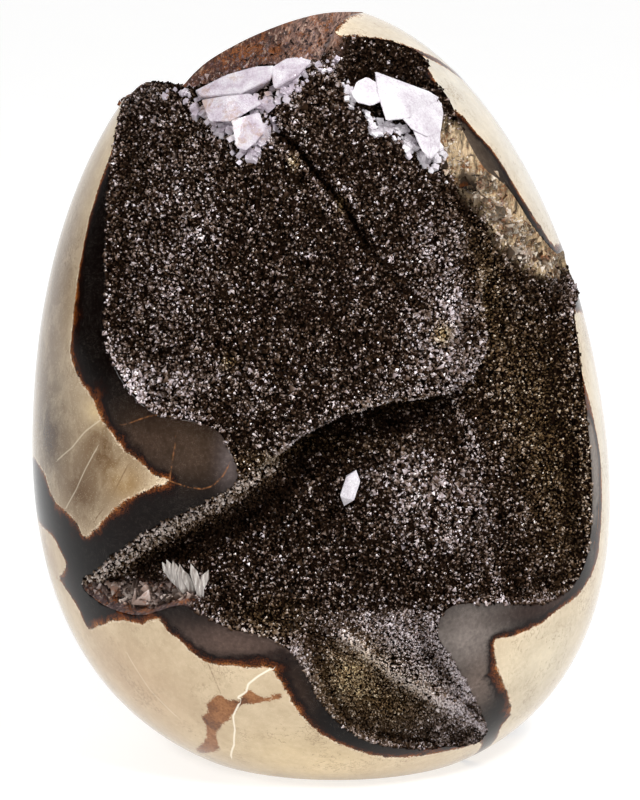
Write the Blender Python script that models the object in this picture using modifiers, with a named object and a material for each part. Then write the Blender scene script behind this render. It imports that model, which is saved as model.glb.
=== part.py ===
"""Septarian nodule: a polished free-standing egg of septarian stone, 130 mm tall.

The stone is one piece with a flat base. Its front and its top are open into hollows. A crust of
small dark crystals lines them, and four groups of calcite crystals stand on that crust.
Units are metres, +Z is up, and the origin is under the middle of the egg, on its base.

The egg's side is described unrolled: "arc" runs round it from the middle of the front, positive
to the right, measured at the radius UNROLL, and a depth runs from the surface to the axis.
"""
import math

import bmesh
import bpy
import numpy as np
from mathutils import Matrix

# The egg's outline, turned about an axis that leans to the left
MIDDLE_HEIGHT = 0.0624
REACH = 0.0680
RADIUS = 0.0495
SHOULDER = 2.2
FULLNESS = 2.3
TAPER = 0.168
LEAN = -6.7 / 130.0
LEAN_HEIGHT = 0.065
AXIS_SHIFT = -0.0009
AXIS_FORWARD = -0.0015
DEPTH_RATIO = 0.96
UNROLL = 0.048
EGG_STEPS = 44
EGG_RINGS = 28

# The crust of crystals, and the gap that parts it from the stone and from the calcite
CRUST = 0.0015
GAP = 0.0003
CELL = 0.0046
TIP = 0.0012
MERGE = 0.00003
RIM_SLOPE = 2.0
STEEPEST = 2.5

# Cutters: how far a hollow's sheet stands off the egg outside its rim, and where its lid is
CLEAR_OF_EGG = 0.006
FRONT_LID = 0.030
HIGHEST = 0.140
TOP_LID = 0.150

# The front hollow's rim as (arc, height), from its upper left corner and down the left side
FRONT_RIM = [
    (-0.0765, 0.1154), (-0.0622, 0.1114), (-0.0531, 0.1054), (-0.0461, 0.0962),
    (-0.0418, 0.0868), (-0.0391, 0.0774), (-0.0359, 0.0728), (-0.0317, 0.0692),
    (-0.0265, 0.0665), (-0.0209, 0.0662), (-0.0165, 0.0652), (-0.0143, 0.0626),
    (-0.0128, 0.0570), (-0.0193, 0.0525), (-0.0288, 0.0473), (-0.0412, 0.0384),
    (-0.0470, 0.0347), (-0.0416, 0.0322), (-0.0326, 0.0320), (-0.0245, 0.0350),
    (-0.0209, 0.0341), (-0.0160, 0.0318), (-0.0102, 0.0308), (-0.0062, 0.0284),
    (-0.0040, 0.0248), (-0.0019, 0.0191), (0.0025, 0.0134), (0.0087, 0.0101),
    (0.0171, 0.0080), (0.0276, 0.0073), (0.0370, 0.0072), (0.0302, 0.0145),
    (0.0259, 0.0195), (0.0216, 0.0254), (0.0182, 0.0309), (0.0205, 0.0352),
    (0.0281, 0.0348), (0.0395, 0.0329), (0.0465, 0.0338), (0.0512, 0.0363),
    (0.0535, 0.0403), (0.0549, 0.0478), (0.0559, 0.0563), (0.0569, 0.0647),
    (0.0589, 0.0729), (0.0621, 0.0793), (0.0700, 0.0806), (0.0785, 0.0826),
    (0.0800, 0.0855), (0.0720, 0.0882), (0.0617, 0.0892), (0.0551, 0.0945),
    (0.0514, 0.1011), (0.0457, 0.1051), (0.0454, 0.1110), (0.0476, 0.1145),
    (0.0482, 0.1172), (0.0420, 0.1204), (0.0330, 0.1225), (0.0180, 0.1260), (0.0000, 0.1265), (-0.0300, 0.1240),
    (-0.0600, 0.1205), (-0.0765, 0.1190),
]
FRONT_REACH = (-0.092, 0.090, 0.003, 0.1285)

# The upper block of the front: its lower right edge steps down to the lower blocks
BLOCK_EDGE = [
    (-0.0143, 0.0560), (-0.0084, 0.0592), (-0.0030, 0.0629), (0.0043, 0.0662),
    (0.0154, 0.0679), (0.0233, 0.0680), (0.0300, 0.0686), (0.0346, 0.0699),
    (0.0381, 0.0737), (0.0407, 0.0783), (0.0425, 0.0880), (0.0434, 0.0985),
    (0.0434, 0.1074), (0.0450, 0.1300), (-0.0900, 0.1400), (-0.0900, 0.0600),
    (-0.0450, 0.0400), (-0.0300, 0.0468), (-0.0200, 0.0520),
]
BLOCK_STEP = 0.0016

# Depths of the crystal surface under the egg's own, as (arc, height, depth)
BLOCK_DEPTHS = [
    (-0.0473, 0.1106, 0.0025), (-0.0365, 0.0967, 0.0030), (-0.0319, 0.0810, 0.0030),
    (-0.0257, 0.1003, 0.0050), (-0.0006, 0.1103, 0.0040), (-0.0018, 0.0927, 0.0080),
    (0.0245, 0.1002, 0.0070), (0.0196, 0.0844, 0.0080), (-0.0025, 0.0771, 0.0070),
    (-0.0207, 0.0722, 0.0035), (0.0295, 0.0791, 0.0070), (0.0335, 0.0713, 0.0080),
    (0.0066, 0.0708, 0.0060), (-0.0096, 0.0648, 0.0030), (0.0356, 0.1094, 0.0050),
    (0.0422, 0.0878, 0.0070), (0.0115, 0.1225, 0.0008), (-0.0400, 0.1200, 0.0012),
    (-0.0030, 0.1212, 0.0034), (-0.0200, 0.1190, 0.0038), (0.0200, 0.1178, 0.0042),
    (0.0290, 0.1172, 0.0046), (-0.0330, 0.1165, 0.0036), (0.0420, 0.1150, 0.0036),
]
LOWER_DEPTHS = [
    (-0.0159, 0.0419, 0.0080), (-0.0227, 0.0394, 0.0050), (-0.0328, 0.0383, 0.0040),
    (-0.0419, 0.0358, 0.0025), (-0.0088, 0.0496, 0.0130), (0.0027, 0.0573, 0.0170),
    (0.0197, 0.0621, 0.0150), (0.0328, 0.0639, 0.0140), (0.0395, 0.0660, 0.0120),
    (-0.0117, 0.0359, 0.0050), (-0.0049, 0.0324, 0.0060), (0.0010, 0.0387, 0.0090),
    (0.0106, 0.0422, 0.0080), (0.0196, 0.0454, 0.0060), (0.0211, 0.0517, 0.0080),
    (0.0312, 0.0539, 0.0090), (0.0317, 0.0440, 0.0065), (0.0364, 0.0583, 0.0090),
    (0.0485, 0.0571, 0.0060), (0.0441, 0.0425, 0.0045), (0.0536, 0.0699, 0.0060),
    (0.0522, 0.0785, 0.0070), (0.0622, 0.0775, 0.0030), (0.0493, 0.0736, 0.0090),
    (0.0317, 0.0361, 0.0025), (0.0476, 0.0386, 0.0025), (0.0204, 0.0372, 0.0040),
    (0.0096, 0.0325, 0.0050), (0.0041, 0.0290, 0.0050), (0.0027, 0.0183, 0.0030),
    (0.0141, 0.0137, 0.0026), (0.0129, 0.0255, 0.0030), (0.0190, 0.0195, 0.0020),
    (0.0311, 0.0109, 0.0013), (0.0205, 0.0267, 0.0030), (0.0420, 0.1077, 0.0020),
    (0.0435, 0.0995, 0.0025), (0.0517, 0.0923, 0.0020), (0.0579, 0.0886, 0.0010),
    (0.0478, 0.0925, 0.0040), (0.0749, 0.0833, 0.0060), (0.0473, 0.0841, 0.0070),
]
SOFTNESS = 0.004
OVERHANG = 0.30
OVERHANG_FROM = 0.009

# Broken stone without crystals, on the upper right and the lower left of the front hollow
RIGHT_LEDGE = [
    (0.0420, 0.1130), (0.0425, 0.1050), (0.0450, 0.0990), (0.0480, 0.0930),
    (0.0530, 0.0885), (0.0600, 0.0860), (0.0820, 0.0850), (0.0820, 0.0920),
    (0.0620, 0.0920), (0.0560, 0.0970), (0.0520, 0.1030), (0.0470, 0.1080),
]
LEFT_LEDGE = [
    (-0.0500, 0.0330), (-0.0400, 0.0352), (-0.0300, 0.0362), (-0.0240, 0.0375),
    (-0.0225, 0.0300), (-0.0350, 0.0290), (-0.0480, 0.0300),
]
BARE_FADE = 0.0020
LEDGE_ROUGHNESS = 0.0007

# The hollow in the top, in plan as (x, y from the axis): its front edge is the crest of the upper block
TOP_RIM = [
    (-0.0480, 0.0000), (-0.0360, 0.0010), (-0.0325, -0.0020), (-0.0270, -0.0125),
    (-0.0219, -0.0180), (-0.0144, -0.0194), (-0.0099, -0.0200), (-0.0044, -0.0204),
    (0.0014, -0.0210), (0.0045, -0.0215), (0.0075, -0.0228), (0.0104, -0.0230),
    (0.0135, -0.0215), (0.0170, -0.0190), (0.0202, -0.0150), (0.0197, -0.0118),
    (0.0182, -0.0099), (0.0163, -0.0086), (0.0132, -0.0100), (0.0106, -0.0114),
    (0.0081, -0.0129), (0.0056, -0.0142), (0.0027, -0.0152), (0.0022, -0.0134),
    (0.0031, -0.0097), (0.0043, -0.0057), (0.0046, 0.0020), (0.0036, 0.0090),
    (-0.0024, 0.0163), (-0.0100, 0.0195), (-0.0230, 0.0225),
    (-0.0340, 0.0240), (-0.0480, 0.0250),
]
TOP_REACH = (-0.056, 0.030, -0.030, 0.034)
TOP_FLOOR = [
    (-0.0360, 0.0050, 0.1140), (-0.0330, 0.0000, 0.1138), (-0.0280, 0.0120, 0.1130),
    (-0.0240, 0.0180, 0.1125), (-0.0200, -0.0080, 0.1110), (-0.0120, 0.0000, 0.1075),
    (-0.0120, 0.0120, 0.1130), (0.0000, -0.0080, 0.1060), (0.0000, 0.0040, 0.1090),
    (0.0060, -0.0160, 0.1110), (0.0110, -0.0160, 0.1120), (0.0168, -0.0128, 0.1195),
    (-0.0280, -0.0060, 0.1130), (-0.0100, 0.0150, 0.1180), (-0.0200, 0.0170, 0.1135),
    (0.0000, 0.0100, 0.1200),
]
TOP_SLOPE = 2.2
TOP_BARE = [
    (-0.0600, -0.0020), (-0.0340, -0.0030), (-0.0220, -0.0090), (-0.0100, -0.0110),
    (0.0000, -0.0130), (0.0022, -0.0148), (0.0060, -0.0080), (0.0400, -0.0010),
    (0.0400, 0.0500), (-0.0600, 0.0500),
]

# Calcite crystals on the crest, each as the corners of its faces
CLEAR_CRYSTALS = [
    [(-0.0211, -0.0211, 0.1176), (-0.0159, -0.0219, 0.1203), (-0.0111, -0.0223, 0.1217),
     (-0.0079, -0.0223, 0.1219), (-0.0084, -0.0252, 0.1198), (-0.0135, -0.0260, 0.1175),
     (-0.0198, -0.0233, 0.1167), (-0.0204, -0.0185, 0.1155), (-0.0157, -0.0180, 0.1165),
     (-0.0110, -0.0185, 0.1175), (-0.0090, -0.0195, 0.1175), (-0.0136, -0.0215, 0.1150)],
    [(-0.0086, -0.0227, 0.1214), (-0.0059, -0.0215, 0.1230), (-0.0039, -0.0215, 0.1232),
     (-0.0016, -0.0217, 0.1227), (-0.0025, -0.0231, 0.1218), (-0.0041, -0.0249, 0.1203),
     (-0.0079, -0.0260, 0.1184), (-0.0080, -0.0194, 0.1180), (-0.0053, -0.0190, 0.1190),
     (-0.0030, -0.0192, 0.1190), (-0.0050, -0.0212, 0.1170)],
    [(-0.0200, -0.0234, 0.1162), (-0.0186, -0.0264, 0.1129), (-0.0149, -0.0283, 0.1131),
     (-0.0098, -0.0276, 0.1160), (-0.0118, -0.0262, 0.1176), (-0.0160, -0.0254, 0.1171),
     (-0.0190, -0.0206, 0.1156), (-0.0179, -0.0231, 0.1132), (-0.0119, -0.0221, 0.1161),
     (-0.0149, -0.0241, 0.1136)],
    [(-0.0149, -0.0280, 0.1134), (-0.0141, -0.0302, 0.1090), (-0.0123, -0.0307, 0.1086),
     (-0.0108, -0.0306, 0.1100), (-0.0092, -0.0297, 0.1116), (-0.0102, -0.0281, 0.1147),
     (-0.0125, -0.0286, 0.1141), (-0.0142, -0.0243, 0.1123), (-0.0129, -0.0258, 0.1092),
     (-0.0106, -0.0250, 0.1114), (-0.0112, -0.0242, 0.1136)],
]
WHITE_CRYSTALS = [
    [(0.0088, -0.0209, 0.1208), (0.0181, -0.0180, 0.1171), (0.0200, -0.0169, 0.1158),
     (0.0139, -0.0243, 0.1153), (0.0146, -0.0247, 0.1133), (0.0106, -0.0269, 0.1131),
     (0.0091, -0.0243, 0.1176), (0.0096, -0.0180, 0.1180), (0.0179, -0.0155, 0.1150),
     (0.0194, -0.0150, 0.1140), (0.0137, -0.0198, 0.1130), (0.0110, -0.0211, 0.1133)],
    [(0.0048, -0.0252, 0.1174), (0.0058, -0.0234, 0.1193), (0.0075, -0.0221, 0.1200),
     (0.0098, -0.0226, 0.1186), (0.0104, -0.0248, 0.1163), (0.0081, -0.0261, 0.1155),
     (0.0058, -0.0261, 0.1160), (0.0057, -0.0208, 0.1173), (0.0074, -0.0190, 0.1175),
     (0.0092, -0.0194, 0.1170), (0.0095, -0.0215, 0.1157)],
    [(0.0129, -0.0252, 0.1137), (0.0146, -0.0228, 0.1155), (0.0200, -0.0165, 0.1160),
     (0.0204, -0.0186, 0.1137), (0.0198, -0.0222, 0.1107), (0.0176, -0.0251, 0.1101),
     (0.0149, -0.0258, 0.1115), (0.0141, -0.0192, 0.1134), (0.0196, -0.0143, 0.1146),
     (0.0195, -0.0174, 0.1109), (0.0154, -0.0200, 0.1115)],
    [(0.0149, -0.0253, 0.1118), (0.0176, -0.0245, 0.1107), (0.0198, -0.0219, 0.1110),
     (0.0196, -0.0244, 0.1080), (0.0179, -0.0266, 0.1066), (0.0164, -0.0264, 0.1082),
     (0.0157, -0.0203, 0.1109), (0.0191, -0.0185, 0.1100), (0.0187, -0.0204, 0.1068),
     (0.0171, -0.0208, 0.1079)],
]

# Calcite crystals that stand on the crust, as (arc, height, depth, tilt, length)
BLADES = [
    (-0.0262, 0.0392, 0.0040, 12.0, 0.0060), (-0.0248, 0.0385, 0.0036, -4.0, 0.0058),
    (-0.0236, 0.0384, 0.0036, -20.0, 0.0062), (-0.0222, 0.0388, 0.0040, 22.0, 0.0052),
]
BLADE_WIDTH = 0.0026
BLADE_THICKNESS = 0.0016
POINT_PLACE = (0.0060, 0.0535, 0.0105)
POINT_LENGTH = 0.0064
POINT_WIDTH = 0.0032
POINT_TILT = 18.0


def egg_radius(height):
    u = (height - MIDDLE_HEIGHT) / REACH
    body = np.clip(1.0 - np.abs(u) ** SHOULDER, 0.0, None)
    return RADIUS * body ** (1.0 / FULLNESS) * (1.0 - TAPER * u)


def egg_axis(height):
    return AXIS_SHIFT + LEAN * (height - LEAN_HEIGHT)


def egg_place(arc, height, depth):
    """Turns an arc, a height and a depth under the surface into x, y and z."""
    angle = arc / UNROLL
    reach = egg_radius(height) - depth
    rise = OVERHANG * np.clip(depth - OVERHANG_FROM, 0.0, None)
    x = egg_axis(height) + reach * np.sin(angle)
    y = AXIS_FORWARD - DEPTH_RATIO * reach * np.cos(angle)
    return x, y, height + rise


def egg_top(x, y):
    """Height of the egg's upper surface over a point of its plan."""
    heights = np.linspace(MIDDLE_HEIGHT + REACH, MIDDLE_HEIGHT, 400)
    radii = egg_radius(heights)
    height = np.full_like(x, LEAN_HEIGHT)
    for _ in range(8):
        out = np.hypot(x - egg_axis(height), y / DEPTH_RATIO)
        height = np.interp(out, radii, heights)
    return height


def smooth_outline(points, steps=4):
    """A closed Catmull-Rom curve through the points."""
    p = np.array(points)
    before, after, beyond = np.roll(p, 1, 0), np.roll(p, -1, 0), np.roll(p, -2, 0)
    rows = []
    for t in np.arange(steps) / steps:
        rows.append(0.5 * (2 * p + (after - before) * t
                           + (2 * before - 5 * p + 4 * after - beyond) * t ** 2
                           + (3 * p - before - 3 * after + beyond) * t ** 3))
    return np.stack(rows, 1).reshape(-1, 2)


def inside_by(u, v, outline):
    """Distance to a closed outline, positive inside it."""
    nearest = np.full(u.shape, 1.0)
    crossings = np.zeros(u.shape, int)
    for (ax, ay), (bx, by) in zip(outline, np.roll(outline, -1, 0)):
        ex, ey = bx - ax, by - ay
        t = np.clip(((u - ax) * ex + (v - ay) * ey) / (ex * ex + ey * ey + 1e-18), 0, 1)
        nearest = np.minimum(nearest, np.hypot(u - ax - t * ex, v - ay - t * ey))
        if ay != by:
            across = ((v >= ay) != (v >= by)) & (u < ax + (v - ay) * ex / ey)
            crossings += across
    return np.where(crossings % 2 == 1, nearest, -nearest)


def through_soundings(u, v, soundings):
    """A smooth surface that passes through (u, v, value) soundings."""
    s = np.array(soundings)
    between = np.hypot(s[:, None, 0] - s[None, :, 0], s[:, None, 1] - s[None, :, 1])
    middle = s[:, 2].mean()
    weights = np.linalg.solve(np.hypot(between, SOFTNESS), s[:, 2] - middle)
    value = np.full(u.shape, middle)
    for (su, sv, _), weight in zip(s, weights):
        value += weight * np.sqrt((u - su) ** 2 + (v - sv) ** 2 + SOFTNESS ** 2)
    return value


def soft_step(distance, width):
    t = np.clip(distance / width + 0.5, 0.0, 1.0)
    return t * t * (3.0 - 2.0 * t)


FRONT_OUTLINE = smooth_outline(FRONT_RIM)
BLOCK_OUTLINE = np.array(BLOCK_EDGE)
TOP_OUTLINE = smooth_outline(TOP_RIM)


def front_depth(arc, height):
    """Depth of the front hollow's crystal surface; below zero outside its rim."""
    upper = through_soundings(arc, height, BLOCK_DEPTHS)
    lower = through_soundings(arc, height, LOWER_DEPTHS)
    block = soft_step(inside_by(arc, height, BLOCK_OUTLINE), BLOCK_STEP)
    depth = np.clip(lower + (upper - lower) * block, 0.0006, None)
    broken = np.sin(arc * 900.0 + height * 500.0) * np.sin(height * 1400.0 - arc * 300.0)
    depth += LEDGE_ROUGHNESS * broken * (1.0 - front_crusted(arc, height))
    rim = RIM_SLOPE * inside_by(arc, height, FRONT_OUTLINE)
    return np.clip(np.minimum(depth, rim), -CLEAR_OF_EGG, None)


def front_crusted(arc, height):
    bare = np.maximum(inside_by(arc, height, np.array(RIGHT_LEDGE)),
                      inside_by(arc, height, np.array(LEFT_LEDGE)))
    return np.clip(-bare / BARE_FADE, 0.0, 1.0)


def top_floor(x, y):
    """Height of the top hollow's surface; above the egg outside its rim."""
    floor = through_soundings(x, y, TOP_FLOOR)
    wall = egg_top(x, y) - TOP_SLOPE * inside_by(x, y, TOP_OUTLINE)
    return np.clip(np.maximum(floor, wall), None, HIGHEST)


def top_crusted(x, y):
    return np.clip(-inside_by(x, y, np.array(TOP_BARE)) / BARE_FADE, 0.0, 1.0)


def steepness(surface, u, v):
    """How much longer a step along the surface is than its step in u and v."""
    h = CELL / 4
    du = (surface(u + h, v) - surface(u - h, v)) / (2 * h)
    dv = (surface(u, v + h) - surface(u, v - h)) / (2 * h)
    return np.clip(np.sqrt(1.0 + du ** 2 + dv ** 2), 1.0, STEEPEST)


def to_crystals(_crusted):
    return 0.0


def to_crust_back(crusted):
    return (CRUST + GAP) * crusted - GAP


def to_stone(crusted):
    return (CRUST + GAP) * crusted


def to_clearance(_crusted):
    return -2.0 * GAP


def front_place(arc, height, lid, tip, offset):
    crusted = front_crusted(arc, height)
    slope = steepness(front_depth, arc, height)
    depth = front_depth(arc, height) + offset(crusted) * slope - TIP * tip * crusted
    return egg_place(arc, height, np.where(lid, -FRONT_LID, depth))


def top_place(x, y, lid, tip, offset):
    crusted = top_crusted(x, y)
    slope = steepness(top_floor, x, y)
    floor = top_floor(x, y) - offset(crusted) * slope + TIP * tip * crusted
    return x, y + AXIS_FORWARD, np.where(lid, TOP_LID, floor)


def collection_of(name):
    made = bpy.data.collections.new(name)
    bpy.context.scene.collection.children.link(made)
    return made


def material_of(name, colour, roughness, transmission=0.0, ior=1.5):
    made = bpy.data.materials.new(name)
    made.use_nodes = True
    made.diffuse_color = (*colour, 1.0)
    shader = made.node_tree.nodes["Principled BSDF"]
    shader.inputs["Base Color"].default_value = (*colour, 1.0)
    shader.inputs["Roughness"].default_value = roughness
    shader.inputs["Metallic"].default_value = 0.0
    shader.inputs["Transmission Weight"].default_value = transmission
    shader.inputs["IOR"].default_value = ior
    return made


def object_from(bm, name, group, material=None):
    mesh = bpy.data.meshes.new(name)
    bm.to_mesh(mesh)
    bm.free()
    made = bpy.data.objects.new(name, mesh)
    group.objects.link(made)
    if material:
        mesh.materials.append(material)
    return made


def sheet_solid(name, reach, place, offset, tips=False):
    """Everything between a hollow's surface and a lid outside the egg, as one cutter."""
    low_u, high_u, low_v, high_v = reach
    columns = round((high_u - low_u) / CELL)
    rows = round((high_v - low_v) / CELL)
    bm = bmesh.new()
    bmesh.ops.create_grid(bm, x_segments=columns, y_segments=rows, size=0.5)
    sheet = bm.faces[:]
    raised = bmesh.ops.extrude_face_region(bm, geom=sheet)["geom"]
    for vert in (g for g in raised if isinstance(g, bmesh.types.BMVert)):
        vert.co.z = 1.0
    if tips:
        flat = [f for f in bm.faces if all(v.co.z == 0.0 for v in f.verts)]
        for vert in bmesh.ops.poke(bm, faces=flat)["verts"]:
            vert.co.z = -1.0
    bmesh.ops.triangulate(bm, faces=bm.faces[:])
    grid = np.array([v.co[:] for v in bm.verts])
    u = low_u + (grid[:, 0] + 0.5) * (high_u - low_u)
    v = low_v + (grid[:, 1] + 0.5) * (high_v - low_v)
    places = np.stack(place(u, v, grid[:, 2] > 0.5, grid[:, 2] < -0.5, offset), 1)
    for vert, co in zip(bm.verts, places):
        vert.co = co
    bmesh.ops.recalc_face_normals(bm, faces=bm.faces[:])
    made = object_from(bm, name, CUTTERS)
    return as_cutter(made)


def as_cutter(made):
    made.hide_render = True
    made.display_type = "WIRE"
    return made


def boolean(target, operation, cutter):
    made = target.modifiers.new(operation.title(), "BOOLEAN")
    made.operation = operation
    made.solver = "EXACT"
    made.object = cutter
    return made


def settle(made):
    """Applies an object's Booleans and drops the crumbs that they part from its main body."""
    view = bpy.context.evaluated_depsgraph_get()
    bm = bmesh.new()
    bm.from_mesh(made.evaluated_get(view).to_mesh())
    unseen = set(bm.verts)
    bodies = []
    while unseen:
        body = reached = {unseen.pop()}
        while reached:
            reached = {e.other_vert(v) for v in reached for e in v.link_edges} & unseen
            unseen -= reached
            body = body | reached
        bodies.append(body)
    largest = max(bodies, key=len)
    crumbs = [v for body in bodies if body is not largest for v in body]
    bmesh.ops.delete(bm, geom=crumbs, context="VERTS")
    bmesh.ops.remove_doubles(bm, verts=bm.verts[:], dist=MERGE)
    made.modifiers.clear()
    bm.to_mesh(made.data)
    bm.free()


def egg_solid(name, group, material, inset):
    """The egg's half profile turned with a Screw, then leaned and narrowed front to back."""
    bm = bmesh.new()
    bottom, top = inset, MIDDLE_HEIGHT + REACH - inset
    turns = np.linspace(math.pi, 0.0, EGG_RINGS + 1)
    heights = bottom + (top - bottom) * 0.5 * (1.0 - np.cos(turns))
    radii = egg_radius(heights) - inset
    profile = [bm.verts.new((0.0, 0.0, top))]
    for height, radius in zip(heights[1:], radii[1:]):
        profile.append(bm.verts.new((radius, 0.0, height)))
    profile.append(bm.verts.new((0.0, 0.0, bottom)))
    for upper, lower in zip(profile, profile[1:]):
        bm.edges.new((upper, lower))
    turned = object_from(bm, name + "_profile", CUTTERS)
    screw = turned.modifiers.new("Turn", "SCREW")
    screw.steps = screw.render_steps = EGG_STEPS
    screw.use_merge_vertices = True
    screw.merge_threshold = 0.00001
    view = bpy.context.evaluated_depsgraph_get()
    mesh = bpy.data.meshes.new_from_object(turned.evaluated_get(view))
    bpy.data.objects.remove(turned)
    for vert in mesh.vertices:
        vert.co.y = AXIS_FORWARD + DEPTH_RATIO * vert.co.y
        vert.co.x += float(egg_axis(vert.co.z))
    mesh.name = name
    made = bpy.data.objects.new(name, mesh)
    group.objects.link(made)
    if material:
        mesh.materials.append(material)
    return made


def grown_together(name, crystals, material):
    """Crystals with flat faces, each the hull of its corners, that run into one another."""
    bm = bmesh.new()
    for corners in crystals:
        verts = [bm.verts.new(co) for co in corners]
        hull = bmesh.ops.convex_hull(bm, input=verts)
        bmesh.ops.delete(bm, geom=hull["geom_interior"], context="VERTS")
    return object_from(bm, name, PARTS, material)


def six_sided(bm, width, thickness, length, matrix):
    """A crystal pointed at both ends, six-sided and flattened to its thickness."""
    size = Matrix.Diagonal((width / 2, thickness / 2, length / 2, 1.0))
    bmesh.ops.create_uvsphere(bm, u_segments=6, v_segments=3, radius=1.0, matrix=matrix @ size)


for old in list(bpy.data.objects):
    bpy.data.objects.remove(old)
PARTS = collection_of("Septarian nodule")
CUTTERS = collection_of("Cutters")

stone = material_of("Polished stone", (0.42, 0.36, 0.24), 0.15)
druse = material_of("Dark druse", (0.06, 0.045, 0.035), 0.35)
clear = material_of("Clear calcite", (0.86, 0.83, 0.88), 0.10, 0.8, 1.6)
white = material_of("White calcite", (0.90, 0.89, 0.88), 0.30)

front_void = sheet_solid("front_void", FRONT_REACH, front_place, to_crystals, tips=True)
top_void = sheet_solid("top_void", TOP_REACH, top_place, to_crystals, tips=True)
front_back = sheet_solid("front_back", FRONT_REACH, front_place, to_crust_back)
top_back = sheet_solid("top_back", TOP_REACH, top_place, to_crust_back)
front_stone = sheet_solid("front_stone", FRONT_REACH, front_place, to_stone)
top_stone = sheet_solid("top_stone", TOP_REACH, top_place, to_stone)
front_clear = sheet_solid("front_clearance", FRONT_REACH, front_place, to_clearance, tips=True)
top_clear = sheet_solid("top_clearance", TOP_REACH, top_place, to_clearance, tips=True)

nodule = egg_solid("nodule", PARTS, stone, 0.0)
boolean(nodule, "DIFFERENCE", front_stone)
boolean(nodule, "DIFFERENCE", top_stone)

crust = egg_solid("druse_crust", PARTS, druse, GAP)
boolean(front_back, "UNION", top_back)
boolean(crust, "INTERSECT", front_back)
boolean(crust, "DIFFERENCE", front_void)
boolean(crust, "DIFFERENCE", top_void)
settle(crust)

boolean(front_clear, "UNION", top_clear)
clear_calcite = grown_together("clear_calcite", CLEAR_CRYSTALS, clear)
boolean(clear_calcite, "INTERSECT", front_clear).use_self = True
white_calcite = grown_together("white_calcite", WHITE_CRYSTALS, white)
boolean(white_calcite, "INTERSECT", front_clear).use_self = True

bm = bmesh.new()
for arc, height, depth, tilt, length in BLADES:
    lean = Matrix.Rotation(math.radians(tilt), 4, "Y")
    frame = Matrix.Translation(egg_place(arc, height, depth)) @ lean
    six_sided(bm, BLADE_WIDTH, BLADE_THICKNESS, length, frame)
blades = object_from(bm, "calcite_blades", PARTS, white)
boolean(blades, "INTERSECT", front_clear).use_self = True

bm = bmesh.new()
lean = Matrix.Rotation(math.radians(POINT_TILT), 4, "Y")
frame = Matrix.Translation(egg_place(*POINT_PLACE)) @ lean
six_sided(bm, POINT_WIDTH, POINT_WIDTH, POINT_LENGTH, frame)
point = object_from(bm, "calcite_point", PARTS, white)
boolean(point, "INTERSECT", front_clear).use_self = True
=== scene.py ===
import math
import random

import bmesh
import bpy
import numpy as np
from mathutils import Matrix, Vector, noise


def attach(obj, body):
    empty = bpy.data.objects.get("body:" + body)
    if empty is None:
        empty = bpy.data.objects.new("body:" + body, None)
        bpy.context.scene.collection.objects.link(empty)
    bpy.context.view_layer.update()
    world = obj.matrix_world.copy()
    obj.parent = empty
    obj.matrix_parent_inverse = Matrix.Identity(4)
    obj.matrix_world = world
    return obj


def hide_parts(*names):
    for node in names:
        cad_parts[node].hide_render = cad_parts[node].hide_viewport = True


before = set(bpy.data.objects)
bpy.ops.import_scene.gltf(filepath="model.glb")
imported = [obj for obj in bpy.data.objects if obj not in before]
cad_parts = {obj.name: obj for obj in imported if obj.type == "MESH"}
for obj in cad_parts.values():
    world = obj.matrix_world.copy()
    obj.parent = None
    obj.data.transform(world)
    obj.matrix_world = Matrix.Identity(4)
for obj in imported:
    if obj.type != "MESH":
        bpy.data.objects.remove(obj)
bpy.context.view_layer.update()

# The nodule is one egg of septarian stone, ground and polished, with a flat base.
# Its side is described unrolled: an arc round it from the middle of the front, positive to the
# right and measured at the radius UNROLL, a height, and a depth from the surface to the axis.
MIDDLE_HEIGHT = 0.0624
REACH = 0.0680
RADIUS = 0.0495
SHOULDER = 2.2
FULLNESS = 2.3
TAPER = 0.168
LEAN = -6.7 / 130.0
LEAN_HEIGHT = 0.065
AXIS_SHIFT = -0.0009
AXIS_FORWARD = -0.0015
DEPTH_RATIO = 0.96
UNROLL = 0.048
AROUND = 2.0 * math.pi * UNROLL
OVERHANG = 0.30
OVERHANG_FROM = 0.009
EGG_RINGS = 215
FRONT_COLUMNS = 290
BACK_COLUMNS = 80
FRONT_ARC = 0.090


def egg_radius(height):
    u = (height - MIDDLE_HEIGHT) / REACH
    body = np.clip(1.0 - np.abs(u) ** SHOULDER, 0.0, None)
    return RADIUS * body ** (1.0 / FULLNESS) * (1.0 - TAPER * u)


def egg_axis(height):
    return AXIS_SHIFT + LEAN * (height - LEAN_HEIGHT)


def egg_place(arc, height, depth):
    """Turns an arc, a height and a depth under the surface into x, y and z."""
    angle = arc / UNROLL
    reach = egg_radius(height) - depth
    rise = OVERHANG * np.clip(depth - OVERHANG_FROM, 0.0, None)
    x = egg_axis(height) + reach * np.sin(angle)
    y = AXIS_FORWARD - DEPTH_RATIO * reach * np.cos(angle)
    return np.stack(np.broadcast_arrays(x, y, height + rise), -1)


def unrolled(points):
    """The arc and the height that lie behind points on the egg."""
    x = points[:, 0] - egg_axis(points[:, 2])
    y = (points[:, 1] - AXIS_FORWARD) / DEPTH_RATIO
    return UNROLL * np.arctan2(x, -y), points[:, 2]


def egg_top(x, y):
    """Height of the egg's upper surface over a point of its plan."""
    heights = np.linspace(MIDDLE_HEIGHT + REACH, MIDDLE_HEIGHT, 400)
    radii = egg_radius(heights)
    height = np.full_like(x, LEAN_HEIGHT)
    for _ in range(8):
        out = np.hypot(x - egg_axis(height), y / DEPTH_RATIO)
        height = np.interp(out, radii, heights)
    return height


def placed_object(name, mesh, *materials):
    """A named object in the scene that carries a mesh and its materials."""
    made = bpy.data.objects.new(name, mesh)
    bpy.context.scene.collection.objects.link(made)
    for material in materials:
        mesh.materials.append(material)
    return made


def mesh_object(name, points, faces, *materials):
    mesh = bpy.data.meshes.new(name)
    mesh.from_pydata(points.tolist(), [], faces)
    return placed_object(name, mesh, *materials)


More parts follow.
